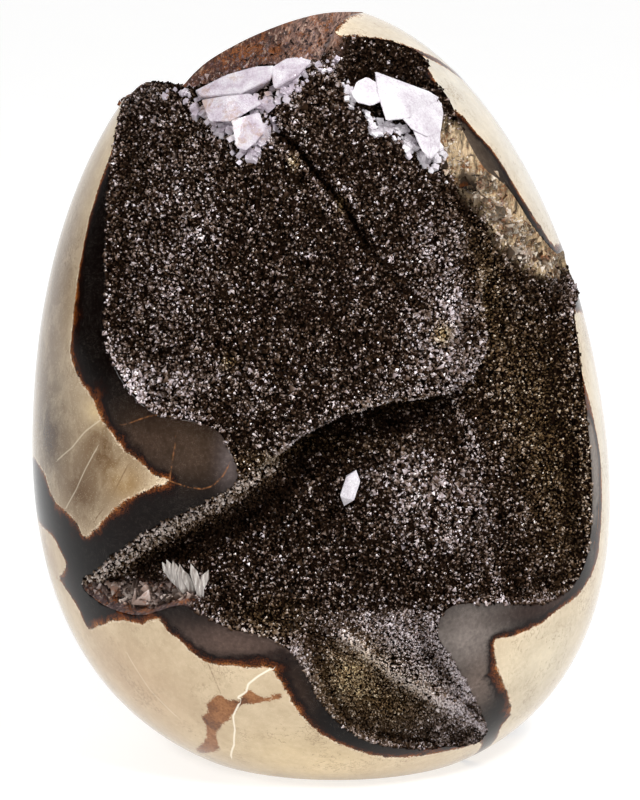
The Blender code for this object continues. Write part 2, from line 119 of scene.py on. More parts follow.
def egg_mesh(name, *materials):
    """Evenly spaced rings round the egg, finer in front, closed at the apex and on the base."""
    front_half = FRONT_ARC / UNROLL
    front = np.linspace(-front_half, front_half, FRONT_COLUMNS, endpoint=False)
    back = np.linspace(front_half, 2.0 * math.pi - front_half, BACK_COLUMNS, endpoint=False)
    arcs = UNROLL * np.concatenate([front, back])
    fine = np.linspace(0.0, MIDDLE_HEIGHT + REACH, 4000)
    steps = np.hypot(np.diff(fine), np.diff(egg_radius(fine)))
    length = np.concatenate([[0.0], np.cumsum(steps)])
    heights = np.interp(np.linspace(0.0, length[-1], EGG_RINGS), length, fine)
    arc, height = np.meshgrid(arcs, heights[:-1])
    rings = egg_place(arc, height, 0.0).reshape(-1, 3)
    ends = egg_place(np.zeros(2), heights[[0, -1]], egg_radius(heights[[0, -1]]))
    ends[:, 2] = heights[[0, -1]]
    count = len(arcs)
    faces = []
    for row in range(EGG_RINGS - 2):
        for k in range(count):
            a, b = row * count + k, row * count + (k + 1) % count
            faces.append((a, b, b + count, a + count))
    last = (EGG_RINGS - 2) * count
    for k in range(count):
        after = (k + 1) % count
        faces.append((len(rings), after, k))
        faces.append((len(rings) + 1, last + k, last + after))
    return mesh_object(name, np.concatenate([rings, ends]), faces, *materials)


def smooth_outline(points, steps=4):
    """A closed Catmull-Rom curve through the points."""
    p = np.array(points)
    before, after, beyond = np.roll(p, 1, 0), np.roll(p, -1, 0), np.roll(p, -2, 0)
    rows = []
    for t in np.arange(steps) / steps:
        rows.append(0.5 * (2 * p + (after - before) * t
                           + (2 * before - 5 * p + 4 * after - beyond) * t ** 2
                           + (3 * p - before - 3 * after + beyond) * t ** 3))
    return np.stack(rows, 1).reshape(-1, 2)


def distance_to(u, v, ends):
    """Distance to the nearest of some straight runs, each from one end to the next."""
    nearest = np.full(u.shape, 1.0)
    for (ax, ay), (bx, by) in ends:
        ex, ey = bx - ax, by - ay
        t = np.clip(((u - ax) * ex + (v - ay) * ey) / (ex * ex + ey * ey + 1e-18), 0, 1)
        nearest = np.minimum(nearest, np.hypot(u - ax - t * ex, v - ay - t * ey))
    return nearest


def inside_by(u, v, outline):
    """Distance to a closed outline, positive inside it."""
    ends = list(zip(outline, np.roll(outline, -1, 0)))
    inside = np.zeros(u.shape, bool)
    for (ax, ay), (bx, by) in ends:
        if ay != by:
            inside ^= ((v >= ay) != (v >= by)) & (u < ax + (v - ay) * (bx - ax) / (by - ay))
    nearest = distance_to(u, v, ends)
    return np.where(inside, nearest, -nearest)


def through_soundings(u, v, soundings):
    """A smooth surface that passes through (u, v, value) soundings."""
    s = np.array(soundings)
    between = np.hypot(s[:, None, 0] - s[None, :, 0], s[:, None, 1] - s[None, :, 1])
    middle = s[:, 2].mean()
    weights = np.linalg.solve(np.hypot(between, SOFTNESS), s[:, 2] - middle)
    value = np.full(u.shape, middle)
    for (su, sv, _), weight in zip(s, weights):
        value += weight * np.sqrt((u - su) ** 2 + (v - sv) ** 2 + SOFTNESS ** 2)
    return value


def soft_step(distance, width):
    t = np.clip(distance / width + 0.5, 0.0, 1.0)
    return t * t * (3.0 - 2.0 * t)


def facets(u, v, size, seed):
    """Flat broken facets over a sheet, about a size across and each tilted its own way."""
    draws = np.random.default_rng(seed)
    jitter, tilt = draws.random((64, 64, 2)), draws.uniform(-1.0, 1.0, (64, 64, 3))
    a, b = u / size, v / size
    nearest, value = np.full(u.shape, 9.0), np.zeros(u.shape)
    for across, up in np.ndindex(3, 3):
        i, j = np.floor(a).astype(int) + across - 1, np.floor(b).astype(int) + up - 1
        middle, slope = jitter[i % 64, j % 64], tilt[i % 64, j % 64]
        da, db = a - i - middle[..., 0], b - j - middle[..., 1]
        away = np.hypot(da, db)
        here = slope[..., 0] * da + slope[..., 1] * db + 0.4 * slope[..., 2]
        value = np.where(away < nearest, here, value)
        nearest = np.minimum(nearest, away)
    return value


def lumpiness(u, v, size, seed):
    """Smooth noise over a sheet, from -1 to 1, with lumps of a given size."""
    flat = zip((u / size).ravel().tolist(), (v / size).ravel().tolist())
    return np.array([noise.noise((a, b, seed)) for a, b in flat]).reshape(u.shape)


# Both hollows were broken open along veins. Each is one sheet of depths under the egg's surface
# or of heights in plan, cut out of the egg together with everything above it.
TENTHS = 10000.0


def tenths(rows):
    """Rows of whole tenths of a millimetre, as metres."""
    return np.array(rows) / TENTHS


# The front hollow's rim as (arc, height), from its upper left corner and down the left side
FRONT_RIM = tenths([
    (-765, 1154), (-622, 1114), (-531, 1054), (-461, 962), (-418, 868), (-391, 774), (-359, 728),
    (-317, 692), (-265, 665), (-209, 662), (-165, 652), (-143, 626), (-128, 570), (-193, 525),
    (-288, 473), (-412, 384), (-470, 347), (-416, 322), (-326, 320), (-245, 350), (-209, 341),
    (-160, 318), (-102, 308), (-62, 284), (-40, 248), (-19, 191), (25, 134), (87, 101), (171, 80),
    (276, 73), (370, 72), (302, 145), (259, 195), (216, 254), (182, 309), (205, 352), (281, 348),
    (395, 329), (465, 338), (512, 363), (535, 403), (549, 478), (559, 563), (569, 647), (589, 729),
    (621, 793), (700, 806), (785, 826), (800, 855), (720, 882), (617, 892), (551, 945), (514, 1011),
    (457, 1051), (454, 1110), (476, 1145), (482, 1172), (420, 1204), (330, 1225), (180, 1260),
    (0, 1265), (-300, 1240), (-600, 1205), (-765, 1190),
])
FRONT_REACH = (-0.092, 0.090, 0.003, 0.1285)

# The upper block of the front: its lower right edge steps down to the lower blocks
BLOCK_EDGE = tenths([
    (-143, 560), (-84, 592), (-30, 629), (43, 662), (154, 679), (233, 680), (300, 686), (346, 699),
    (381, 737), (407, 783), (425, 880), (434, 985), (434, 1074), (450, 1300), (-900, 1400),
    (-900, 600), (-450, 400), (-300, 468), (-200, 520),
])
BLOCK_STEP = 0.0016

# Depths of the crystal surface under the egg's own, as (arc, height, depth)
BLOCK_DEPTHS = tenths([
    (-473, 1106, 25), (-365, 967, 30), (-319, 810, 30), (-257, 1003, 50), (-6, 1103, 40),
    (-18, 927, 80), (245, 1002, 70), (196, 844, 80), (-25, 771, 70), (-207, 722, 35),
    (295, 791, 70), (335, 713, 80), (66, 708, 60), (-96, 648, 30), (356, 1094, 50), (422, 878, 70),
    (115, 1225, 8), (-400, 1200, 12), (-30, 1212, 34), (-200, 1190, 38), (200, 1178, 42),
    (290, 1172, 46), (-330, 1165, 36), (420, 1150, 36),
])
LOWER_DEPTHS = tenths([
    (-159, 419, 80), (-227, 394, 50), (-328, 383, 40), (-419, 358, 25), (-88, 496, 130),
    (27, 573, 170), (197, 621, 150), (328, 639, 140), (395, 660, 120), (-117, 359, 50),
    (-49, 324, 60), (10, 387, 90), (106, 422, 80), (196, 454, 60), (211, 517, 80), (312, 539, 90),
    (317, 440, 65), (364, 583, 90), (485, 571, 60), (441, 425, 45), (536, 699, 60), (522, 785, 70),
    (622, 775, 30), (493, 736, 90), (317, 361, 25), (476, 386, 25), (204, 372, 40), (96, 325, 50),
    (41, 290, 50), (27, 183, 30), (141, 137, 26), (129, 255, 30), (190, 195, 20), (311, 109, 13),
    (205, 267, 30), (420, 1077, 20), (435, 995, 25), (517, 923, 20), (579, 886, 10), (478, 925, 40),
    (749, 833, 60), (473, 841, 70),
])
SOFTNESS = 0.004
FINE_CELL = 0.0008
CLEAR_OF_EGG = 0.006
FRONT_LID = 0.078
HIGHEST = 0.140
TOP_LID = 0.150
RIM_SLOPE = 2.0

# Broken stone without crystals, on the upper right and the lower left of the front hollow
RIGHT_LEDGE = tenths([
    (420, 1130), (425, 1050), (450, 990), (480, 930), (530, 885), (600, 860), (820, 850),
    (820, 920), (620, 920), (560, 970), (520, 1030), (470, 1080),
])
LEFT_LEDGE = tenths([
    (-500, 330), (-400, 352), (-300, 362), (-240, 375), (-225, 300), (-350, 290), (-480, 300),
])
BARE_FADE = 0.0020
BREAK_SLANT = 0.5
LEDGE_SUNK = 0.0006
LEAST_DEPTH = 0.0004
LEAST_CRUST_DEPTH = 0.0006

# Lumps in the crust as (rise, size, seed)
CRUST_LUMPS = [(0.0011, 0.0060, 1.0), (0.0006, 0.0025, 2.0)]

# A crack runs across the upper block from the clear calcite to the block's right side
CRACK = tenths([
    (-91, 1125), (-46, 1102), (-10, 1086), (17, 1060), (90, 1002), (118, 962), (141, 930),
    (190, 880), (204, 858), (234, 836), (271, 805),
])
CRACK_DEPTH = 0.0024
CRACK_WIDTH = 0.0008
CRACK_OPENS = 0.0900
CRACK_OPENS_OVER = 0.0080

# A ridge runs down the lowest tongue of crystals, to its tip at the lower right
RIDGE = tenths([
    (30, 300), (76, 264), (125, 224), (203, 179), (276, 136), (360, 90),
])
RIDGE_RISE = 0.0013
RIDGE_WIDTH = 0.0013

# The hollow in the top, in plan as (x, y from the axis); its front edge is the block's crest
TOP_RIM = tenths([
    (-480, 0), (-360, 10), (-325, -20), (-270, -125), (-219, -180), (-144, -194), (-99, -200),
    (-44, -204), (14, -210), (45, -215), (75, -228), (104, -230), (135, -215), (170, -190),
    (202, -150), (197, -118), (182, -99), (163, -86), (132, -100), (106, -114), (81, -129),
    (56, -142), (27, -152), (22, -134), (34, -97), (52, -50), (70, 0), (66, 50), (50, 83),
    (20, 115), (-40, 160), (-100, 187), (-160, 199), (-230, 205), (-340, 240), (-480, 250),
])
TOP_REACH = (-0.056, 0.030, -0.030, 0.034)
TOP_FLOOR = tenths([
    (-360, 50, 1140), (-330, 0, 1138), (-280, 120, 1130), (-240, 180, 1125), (-200, -80, 1110),
    (-120, 0, 1075), (-120, 120, 1130), (0, -80, 1060), (0, 40, 1090), (60, -160, 1110),
    (110, -160, 1120), (168, -128, 1195), (-280, -60, 1130), (-100, 150, 1180), (-200, 170, 1135),
    (0, 100, 1200),
])
TOP_SLOPE = 2.2
TOP_BARE = tenths([
    (-600, -20), (-340, -30), (-220, -90), (-100, -110), (0, -130), (22, -148), (60, -80),
    (400, -10), (400, 500), (-600, 500),
])


def front_crusted(arc, height):
    bare = np.maximum(inside_by(arc, height, RIGHT_LEDGE), inside_by(arc, height, LEFT_LEDGE))
    return np.clip(-bare / BARE_FADE, 0.0, 1.0)


def line_distance(arc, height, lines):
    runs = [run for line in lines for run in zip(line, line[1:])]
    return distance_to(arc, height, runs)


def front_depth(arc, height):
    """Depth of the front hollow's floor; below zero outside its rim."""
    upper = through_soundings(arc, height, BLOCK_DEPTHS)
    lower = through_soundings(arc, height, LOWER_DEPTHS)
    block = soft_step(inside_by(arc, height, BLOCK_EDGE), BLOCK_STEP)
    depth = lower + (upper - lower) * block
    for rise, size, seed in CRUST_LUMPS:
        depth += rise * lumpiness(arc, height, size, seed)
    crack = line_distance(arc, height, [CRACK])
    open_crack = 0.3 + 0.9 * np.clip((height - CRACK_OPENS) / CRACK_OPENS_OVER, 0.0, 1.0)
    depth += CRACK_DEPTH * open_crack * np.exp(-(crack / CRACK_WIDTH) ** 2)
    ridge = line_distance(arc, height, [RIDGE])
    depth -= RIDGE_RISE * np.exp(-(ridge / RIDGE_WIDTH) ** 2)
    depth = np.clip(depth, LEAST_CRUST_DEPTH, None)
    bare = 1.0 - front_crusted(arc, height)
    broken = 0.0022 * facets(arc + BREAK_SLANT * height, height, 0.0048, 21)
    broken += 0.0011 * facets(arc, height, 0.0021, 22)
    depth = np.clip(depth + bare * (broken + LEDGE_SUNK), LEAST_DEPTH, None)
    rim = RIM_SLOPE * inside_by(arc, height, smooth_outline(FRONT_RIM))
    return np.clip(np.minimum(depth, rim), -CLEAR_OF_EGG, None)


def top_crusted(x, y):
    return np.clip(-inside_by(x, y, TOP_BARE) / BARE_FADE, 0.0, 1.0)


def top_floor(x, y):
    """Height of the top hollow's surface; above the egg outside its rim."""
    inside = inside_by(x, y, smooth_outline(TOP_RIM))
    bare = 1.0 - top_crusted(x, y)
    floor = through_soundings(x, y, TOP_FLOOR)
    floor += 0.0006 * lumpiness(x, y, 0.0040, 5.0)
    floor = floor + bare * 0.0012 * facets(x, y, 0.0030, 23)
    wall = egg_top(x, y) - TOP_SLOPE * inside
    within = np.clip(inside / 0.003, 0.0, 1.0)
    wall -= bare * within * 0.0018 * np.abs(facets(x, y, 0.0036, 24))
    return np.clip(np.maximum(floor, wall), None, HIGHEST)


def sheet_solid(name, reach, place, lid):
    """Everything between a hollow's floor and a lid outside the egg, as one cutter."""
    low_u, high_u, low_v, high_v = reach
    columns = round((high_u - low_u) / FINE_CELL)
    rows = round((high_v - low_v) / FINE_CELL)
    us = np.linspace(low_u, high_u, columns)
    u, v = np.meshgrid(us, np.linspace(low_v, high_v, rows))
    floor = place(u, v).reshape(-1, 3)
    roof = np.concatenate([lid(us, np.full(columns, low_v)), lid(us, np.full(columns, high_v))])
    faces = []
    for row in range(rows - 1):
        for k in range(columns - 1):
            a = row * columns + k
            faces.append((a, a + 1, a + columns + 1, a + columns))
    near, far, top_row = rows * columns, rows * columns + columns, (rows - 1) * columns
    for k in range(columns - 1):
        faces.append((near + k, near + k + 1, far + k + 1, far + k))
        faces.append((k, k + 1, near + k + 1, near + k))
        faces.append((top_row + k, top_row + k + 1, far + k + 1, far + k))
    for k in (0, columns - 1):
        side = [row * columns + k for row in range(rows)]
        faces.append(side + [far + k, near + k])
    made = mesh_object(name, np.concatenate([floor, roof]), faces, broken_stone)
    bm = bmesh.new()
    bm.from_mesh(made.data)
    bmesh.ops.recalc_face_normals(bm, faces=bm.faces[:])
    bm.to_mesh(made.data)
    bm.free()
    return made


def front_floor_place(arc, height):
    return egg_place(arc, height, front_depth(arc, height))


def front_lid(arc, height):
    return egg_place(arc, height, egg_radius(height) - FRONT_LID)


def top_floor_place(x, y):
    return np.stack([x, y + AXIS_FORWARD, top_floor(x, y)], -1)


def top_lid(x, y):
    return np.stack([x, y + AXIS_FORWARD, np.full_like(x, TOP_LID)], -1)


def cut_by(made, cutter):
    """Cuts a mesh with an exact Boolean; the cut faces take the cutter's material."""
    cut = made.modifiers.new("Cut", "BOOLEAN")
    cut.operation = "DIFFERENCE"
    cut.solver = "EXACT"
    cut.object = cutter
    cut.material_mode = "TRANSFER"
    view = bpy.context.evaluated_depsgraph_get()
    mesh = bpy.data.meshes.new_from_object(made.evaluated_get(view), depsgraph=view)
    made.modifiers.clear()
    made.data = mesh
    bpy.data.objects.remove(cutter)


# The polished skin: grey-brown calcite veins part cells of cream and khaki limestone. Each cell
# is an outline on the unrolled egg as (arc, height); the front is followed closely, and the
# sides and the back carry cells of the same kind.
LIMESTONE_CELLS = [tenths(row) for row in [
    [(-626, 1160), (-570, 1124), (-548, 1058), (-537, 1003), (-525, 936), (-510, 855), (-497, 777),
     (-494, 741), (-463, 708), (-418, 677), (-386, 643), (-336, 602), (-301, 585), (-273, 565),
     (-245, 560), (-274, 547), (-312, 529), (-353, 503), (-394, 467), (-437, 437), (-458, 456),
     (-491, 473), (-528, 478), (-556, 500), (-586, 523), (-680, 530), (-790, 500), (-910, 560),
     (-1000, 680), (-990, 860), (-900, 1030), (-760, 1150)],
    [(-703, 418), (-578, 415), (-540, 398), (-518, 370), (-581, 336), (-686, 314), (-800, 330),
     (-840, 400), (-780, 440)],
    [(-588, 334), (-518, 304), (-496, 263), (-446, 278), (-404, 293), (-363, 303), (-329, 302),
     (-291, 319), (-277, 299), (-257, 286), (-233, 264), (-208, 250), (-182, 249), (-132, 248),
     (-98, 249), (-88, 231), (-74, 203), (-63, 169), (-37, 135), (-10, 113), (32, 90), (94, 69),
     (154, 59), (239, 59), (324, 60), (388, 55), (388, -60), (-980, -60), (-960, 160), (-860, 270),
     (-720, 290)],
    [(411, 85), (409, 115), (386, 144), (351, 179), (322, 213), (306, 238), (294, 277), (310, 280),
     (348, 282), (395, 290), (441, 306), (501, 318), (553, 341), (586, 372), (590, 398), (596, 431),
     (606, 489), (611, 549), (602, 597), (592, 644), (577, 702), (573, 756), (590, 790), (700, 775),
     (850, 745), (960, 640), (985, 440), (930, 230), (800, 60), (700, -60), (536, -60), (480, 30)],
    [(596, 1288), (372, 1285), (194, 1266), (313, 1260), (458, 1251), (581, 1231), (672, 1213),
     (711, 1198), (900, 1180), (1300, 1200), (1400, 1260), (1000, 1296)],
    [(536, 1225), (508, 1205), (478, 1178), (465, 1157), (460, 1143), (495, 1128), (508, 1102),
     (540, 1065), (548, 1023), (567, 983), (578, 952), (595, 939), (632, 902), (800, 900),
     (960, 930), (1060, 1040), (960, 1130), (740, 1170), (640, 1200)],
    [(-1090, 1070), (-1000, 1170), (-1260, 1215), (-1420, 1130), (-1360, 930), (-1170, 850)],
    [(-1080, 760), (-1310, 830), (-1460, 740), (-1440, 520), (-1250, 420), (-1060, 530)],
    [(-930, 460), (-1130, 420), (-1210, 330), (-1180, 140), (-1160, -60), (-1030, -60),
     (-1020, 200), (-900, 330)],
    [(-1260, -60), (-1280, 180), (-1330, 360), (-1530, 430), (-1680, 330), (-1640, 120),
     (-1620, -60)],
    [(-1530, 880), (-1480, 1080), (-1600, 1180), (-1840, 1130), (-1930, 960), (-1760, 790)],
    [(-1530, 510), (-1500, 650), (-1560, 790), (-1680, 720), (-1740, 560), (-1690, 450),
     (-1600, 460)],
    [(1040, 880), (1130, 850), (1240, 700), (1230, 560), (1120, 470), (1020, 620), (970, 790)],
    [(1060, 330), (1140, 400), (1240, 450), (1290, 320), (1240, 150), (1260, -60), (860, -60),
     (970, 140)],
]]

# Soft patches of other shades as (arc, height, width, tallness, shade), the sizes in tenths
LIMESTONE_SHADE = (200, 180, 150)
LIMESTONE_TINTS_AND_PAINTED_REFLECTION = [
    (-600, 800, 130, 260, (128, 112, 96)), (-550, 590, 90, 110, (62, 48, 38)),
    (-380, 590, 90, 90, (88, 62, 32)), (-440, 510, 70, 60, (86, 62, 36)),
    (-330, 545, 40, 30, (140, 112, 74)), (-620, 380, 80, 50, (168, 144, 116)),
    (-400, 655, 30, 20, (196, 172, 132)), (-420, 180, 160, 110, (188, 162, 132)),
    (-60, 60, 200, 60, (206, 184, 146)), (450, 200, 150, 150, (204, 192, 168)),
    # These two grey rows high on the right are painted reflection of the pale room: they are greyer
    # than the limestone's own cream
    (500, 1190, 400, 110, (190, 184, 172)), (700, 1020, 200, 160, (204, 198, 186)),
    (660, 560, 70, 300, (204, 194, 176)), (-1250, 640, 200, 200, (150, 122, 84)),
    (1150, 640, 200, 200, (170, 146, 108)), (-1700, 960, 200, 160, (168, 146, 112)),
]
VEIN_SHADE = (15, 9, 7)
VEIN_TINTS = [
    (-280, 620, 100, 50, (62, 47, 37)), (-200, 605, 70, 40, (66, 52, 42)),
    (-140, 596, 20, 40, (92, 82, 80)), (-300, 470, 120, 60, (20, 11, 8)),
    (-170, 290, 110, 35, (98, 80, 72)), (240, 290, 80, 60, (132, 122, 116)),
    (280, 200, 50, 60, (112, 98, 90)), (450, 1070, 70, 80, (84, 73, 64)),
    (575, 560, 30, 220, (126, 116, 108)), (460, 320, 160, 20, (60, 44, 38)),
    (-80, 190, 40, 60, (70, 52, 42)), (140, 65, 200, 12, (66, 48, 38)),
    (-1500, 600, 500, 100, (58, 46, 38)), (1400, 800, 300, 300, (50, 40, 34)),
]

# A brown vein in the lower cell, and thin lines of white calcite, scratches and rust
BROWN_VEIN = tenths([
    (-238, 168), (-207, 189), (-190, 182), (-166, 184), (-146, 206), (-123, 192), (-94, 202),
    (-84, 198), (-96, 190), (-133, 181), (-170, 172), (-193, 149), (-225, 126), (-255, 100),
    (-282, 62), (-355, 42), (-395, 37), (-308, 76), (-268, 114), (-266, 135), (-244, 151),
])
LIGHT_HAIRLINES = [tenths(row) for row in [
    [(-98, 249), (-122, 234), (-143, 217), (-150, 201), (-168, 190)],
    [(-170, 176), (-191, 149), (-200, 119), (-224, 82), (-265, 47)],
]]
SCRATCHES = [tenths(row) for row in [
    [(-391, 642), (-430, 617), (-467, 584), (-515, 555)],
    [(-397, 595), (-428, 553), (-455, 514), (-490, 477)],
    [(-389, 236), (-369, 173), (-337, 129)],
    [(376, 1090), (403, 1063), (443, 1040), (468, 1020), (503, 1017)],
]]
RUST_HAIRLINES = [tenths(row) for row in [
    [(-209, 246), (-205, 222), (-202, 200)],
    [(548, 756), (547, 702), (567, 644), (582, 597), (591, 549), (586, 489), (576, 431),
     (558, 398)],
    [(-325, 577), (-366, 512), (-406, 472)],
    [(-243, 560), (-215, 554), (-188, 552), (-170, 558), (-152, 575), (-143, 591)],
    [(-231, 632), (-238, 597), (-244, 562)],
    [(-335, 642), (-289, 660), (-244, 673)],
    [(-1090, 640), (-1200, 600), (-1290, 660), (-1400, 640)],
    [(700, 560), (790, 500), (850, 380), (960, 340)],
]]


def wired(tree, kind, inputs=None, **settings):
    """Adds a shader node; an input is a plain value or another node's output."""
    made = tree.nodes.new("ShaderNode" + kind)
    for name, value in settings.items():
        setattr(made, name, value)
    for name, value in (inputs or {}).items():
        if isinstance(value, bpy.types.NodeSocket):
            tree.links.new(value, made.inputs[name])
        else:
            made.inputs[name].default_value = value
    return made.outputs[0]


def colour(*srgb):
    """A colour given as it looks, from 0 to 255, as the shader's own linear values."""
    return tuple((c / 255.0) ** 2.2 for c in srgb) + (1.0,)


def ramp(tree, value, *stops):
    """A colour ramp over (position, red, green, blue) stops."""
    made = tree.nodes.new("ShaderNodeValToRGB")
    tree.links.new(value, made.inputs["Fac"])
    elements = made.color_ramp.elements
    while len(elements) < len(stops):
        elements.new(0.5)
    for element, (position, *srgb) in zip(elements, stops):
        element.position = position
        element.color = colour(*srgb)
    return made.outputs["Color"]


def mixed(tree, mask, low, high):
    return wired(tree, "MixRGB", {"Fac": mask, "Color1": low, "Color2": high})


def remapped(tree, value, low, high, to_low=0.0, to_high=1.0):
    return wired(tree, "MapRange", {"Value": value, "From Min": low, "From Max": high,
                                    "To Min": to_low, "To Max": to_high})


def product(tree, a, b):
    return wired(tree, "Math", {0: a, 1: b}, operation="MULTIPLY")


def bump(tree, height, strength, distance):
    return wired(tree, "Bump", {"Height": height, "Strength": strength, "Distance": distance})


def body_place(tree):
    return tree.nodes.new("ShaderNodeTexCoord").outputs["Object"]


def feed(tree, shader, **outputs):
    """Links outputs to the shader's inputs of the same names."""
    for name, output in outputs.items():
        tree.links.new(output, shader.inputs[name.replace("_", " ")])


def attribute(tree, name, output="Fac"):
    made = tree.nodes.new("ShaderNodeAttribute")
    made.attribute_name = name
    return made.outputs[output]


def new_material(name, **constants):
    """A material with a Principled shader whose plain values are set on its own sockets."""
    made = bpy.data.materials.new(name)
    made.use_nodes = True
    shader = made.node_tree.nodes["Principled BSDF"]
    for socket, value in constants.items():
        shader.inputs[socket.replace("_", " ")].default_value = value
    return made, made.node_tree, shader


def effect_group(name, inputs, outputs):
    """An empty node group with named number inputs and number outputs."""
    group = bpy.data.node_groups.new(name, "ShaderNodeTree")
    for label, value in inputs.items():
        socket = group.interface.new_socket(label, in_out="INPUT", socket_type="NodeSocketFloat")
        socket.default_value = value
    for label in outputs:
        group.interface.new_socket(label, in_out="OUTPUT", socket_type="NodeSocketFloat")
    return group, group.nodes.new("NodeGroupInput"), group.nodes.new("NodeGroupOutput")


# Mottling: cloudy noise through the stone's body, with finer grain laid over it. Most
# materials here use it, each with its own size and share of grain.
mottling, given, result = effect_group("Mottling", {"Size": 0.004, "Grain": 0.3}, ["Mask"])
place = body_place(mottling)
scale = wired(mottling, "Math", {0: 1.0, 1: given.outputs["Size"]}, operation="DIVIDE")
cloud = wired(mottling, "TexNoise", {"Vector": place, "Scale": scale, "Detail": 5.0,
                                     "Roughness": 0.6, "Distortion": 0.4})
finer = product(mottling, scale, 9.0)
grain = wired(mottling, "TexNoise", {"Vector": place, "Scale": finer, "Detail": 3.0})
blend = wired(mottling, "Mix", {"Factor": given.outputs["Grain"], "A": cloud, "B": grain})
mottling.links.new(remapped(mottling, blend, 0.32, 0.68), result.inputs["Mask"])


def thin_line(tree, name, width, strength):
    """A mask of drawn lines, kept sharp between the mesh's points by their two sides."""
    near = remapped(tree, attribute(tree, name + "_mm"), 0.6, 1.2, strength, 0.0)
    side = wired(tree, "Math", {0: attribute(tree, name + "_side")}, operation="ABSOLUTE")
    return product(tree, near, remapped(tree, side, 0.25 * width, width, 1.0, 0.0))


def mottled(tree, size, grain):
    made = tree.nodes.new("ShaderNodeGroup")
    made.node_tree = mottling
    made.inputs["Size"].default_value = size
    made.inputs["Grain"].default_value = grain
    return made.outputs["Mask"]


def clouds(tree, size, grain, low, high, to_low=0.0, to_high=1.0):
    return remapped(tree, mottled(tree, size, grain), low, high, to_low, to_high)


# Polished stone: limestone and calcite ground to one skin. The distances to the cells and the
# thin lines come from the mesh in millimetres, above zero inside a cell.
polished, tree, shader = new_material("Polished septarian stone", IOR=1.31)
wobble = clouds(tree, 0.0022, 0.5, 0.0, 1.0, -0.45, 0.45)
cell = wired(tree, "Math", {0: attribute(tree, "cell_mm"), 1: wobble}, operation="ADD")
spread = clouds(tree, 0.011, 0.1, 0.15, 0.85, 0.8, 3.0)
veinward = product(tree, cell, spread)
limestone = attribute(tree, "limestone_shade", "Color")
darker = clouds(tree, 0.009, 0.3, 0.1, 0.9, 0.30, 0.0)
limestone = mixed(tree, darker, limestone, colour(112, 86, 54))
paler = clouds(tree, 0.005, 0.2, 0.4, 1.0, 0.0, 0.22)
limestone = mixed(tree, paler, limestone, colour(226, 208, 176))
specks = remapped(tree, wired(tree, "TexVoronoi", {"Scale": 420.0}), 0.08, 0.18, 0.75, 0.0)
limestone = mixed(tree, specks, limestone, colour(240, 224, 190))
drift = wired(tree, "TexNoise", {"Scale": 120.0, "Detail": 3.0}).node.outputs["Color"]
bent = wired(tree, "MixRGB", {"Fac": 0.012, "Color1": body_place(tree), "Color2": drift},
             blend_type="ADD")
cracks = wired(tree, "TexVoronoi", {"Vector": bent, "Scale": 75.0}, feature="DISTANCE_TO_EDGE")
cracks = remapped(tree, cracks, 0.006, 0.030, 0.45, 0.0)
cracks = product(tree, cracks, clouds(tree, 0.014, 0.1, 0.30, 0.65))
limestone = mixed(tree, cracks, limestone, colour(92, 66, 40))
calcite = attribute(tree, "vein_shade", "Color")
darker = clouds(tree, 0.0060, 0.45, 0.0, 1.0, 0.55, 0.0)
calcite = mixed(tree, darker, calcite, colour(14, 9, 7))
flecks = remapped(tree, wired(tree, "TexVoronoi", {"Scale": 1100.0}), 0.10, 0.22, 0.75, 0.0)
flecks = product(tree, flecks, clouds(tree, 0.0060, 0.5, 0.35, 0.85))
calcite = mixed(tree, flecks, calcite, colour(176, 164, 152))
edge = ramp(tree, remapped(tree, veinward, -5.0, 1.0), (0.0, 16, 9, 6), (0.45, 34, 17, 10),
            (0.68, 104, 54, 24), (0.80, 158, 98, 50))
edge = mixed(tree, clouds(tree, 0.0016, 0.6, 0.35, 0.70, 0.95, 0.0), edge, colour(14, 7, 5))
vein = mixed(tree, remapped(tree, veinward, -5.0, -2.6), calcite, edge)
in_cell = remapped(tree, cell, -0.10, 0.10)
pale_line = wired(tree, "Math", {0: cell, 1: -0.06}, operation="ADD")
pale_line = wired(tree, "Math", {0: pale_line}, operation="ABSOLUTE")
pale_line = remapped(tree, pale_line, 0.04, 0.20, 0.9, 0.0)
patchy_line = clouds(tree, 0.0050, 0.5, 0.30, 0.75)
pale_line = product(tree, pale_line, patchy_line)
skin = mixed(tree, in_cell, vein, limestone)
skin = mixed(tree, pale_line, skin, colour(226, 208, 180))
brown = wired(tree, "Math", {0: attribute(tree, "brown_mm"), 1: wobble}, operation="ADD")
brown_shade = ramp(tree, mottled(tree, 0.0035, 0.4), (0.0, 72, 46, 30),
                   (0.5, 128, 82, 48), (1.0, 160, 112, 72))
skin = mixed(tree, remapped(tree, brown, -0.12, 0.12), skin, brown_shade)
rust = product(tree, thin_line(tree, "rust", 0.18, 0.75), patchy_line)
skin = mixed(tree, rust, skin, mixed(tree, in_cell, colour(140, 92, 56), colour(96, 66, 38)))
skin = mixed(tree, thin_line(tree, "scratch", 0.20, 0.34), skin, colour(236, 222, 196))
skin = mixed(tree, thin_line(tree, "light", 0.24, 0.85), skin, colour(244, 234, 214))
pits = wired(tree, "TexNoise", {"Scale": 1500.0, "Detail": 2.0})
feed(tree, shader, Base_Color=skin, Normal=bump(tree, pits, 0.04, 0.0002),
     Roughness=clouds(tree, 0.003, 0.6, 0.0, 1.0, 0.05, 0.16),
     Specular_IOR_Level=remapped(tree, in_cell, 0.0, 1.0, 0.20, 0.50))
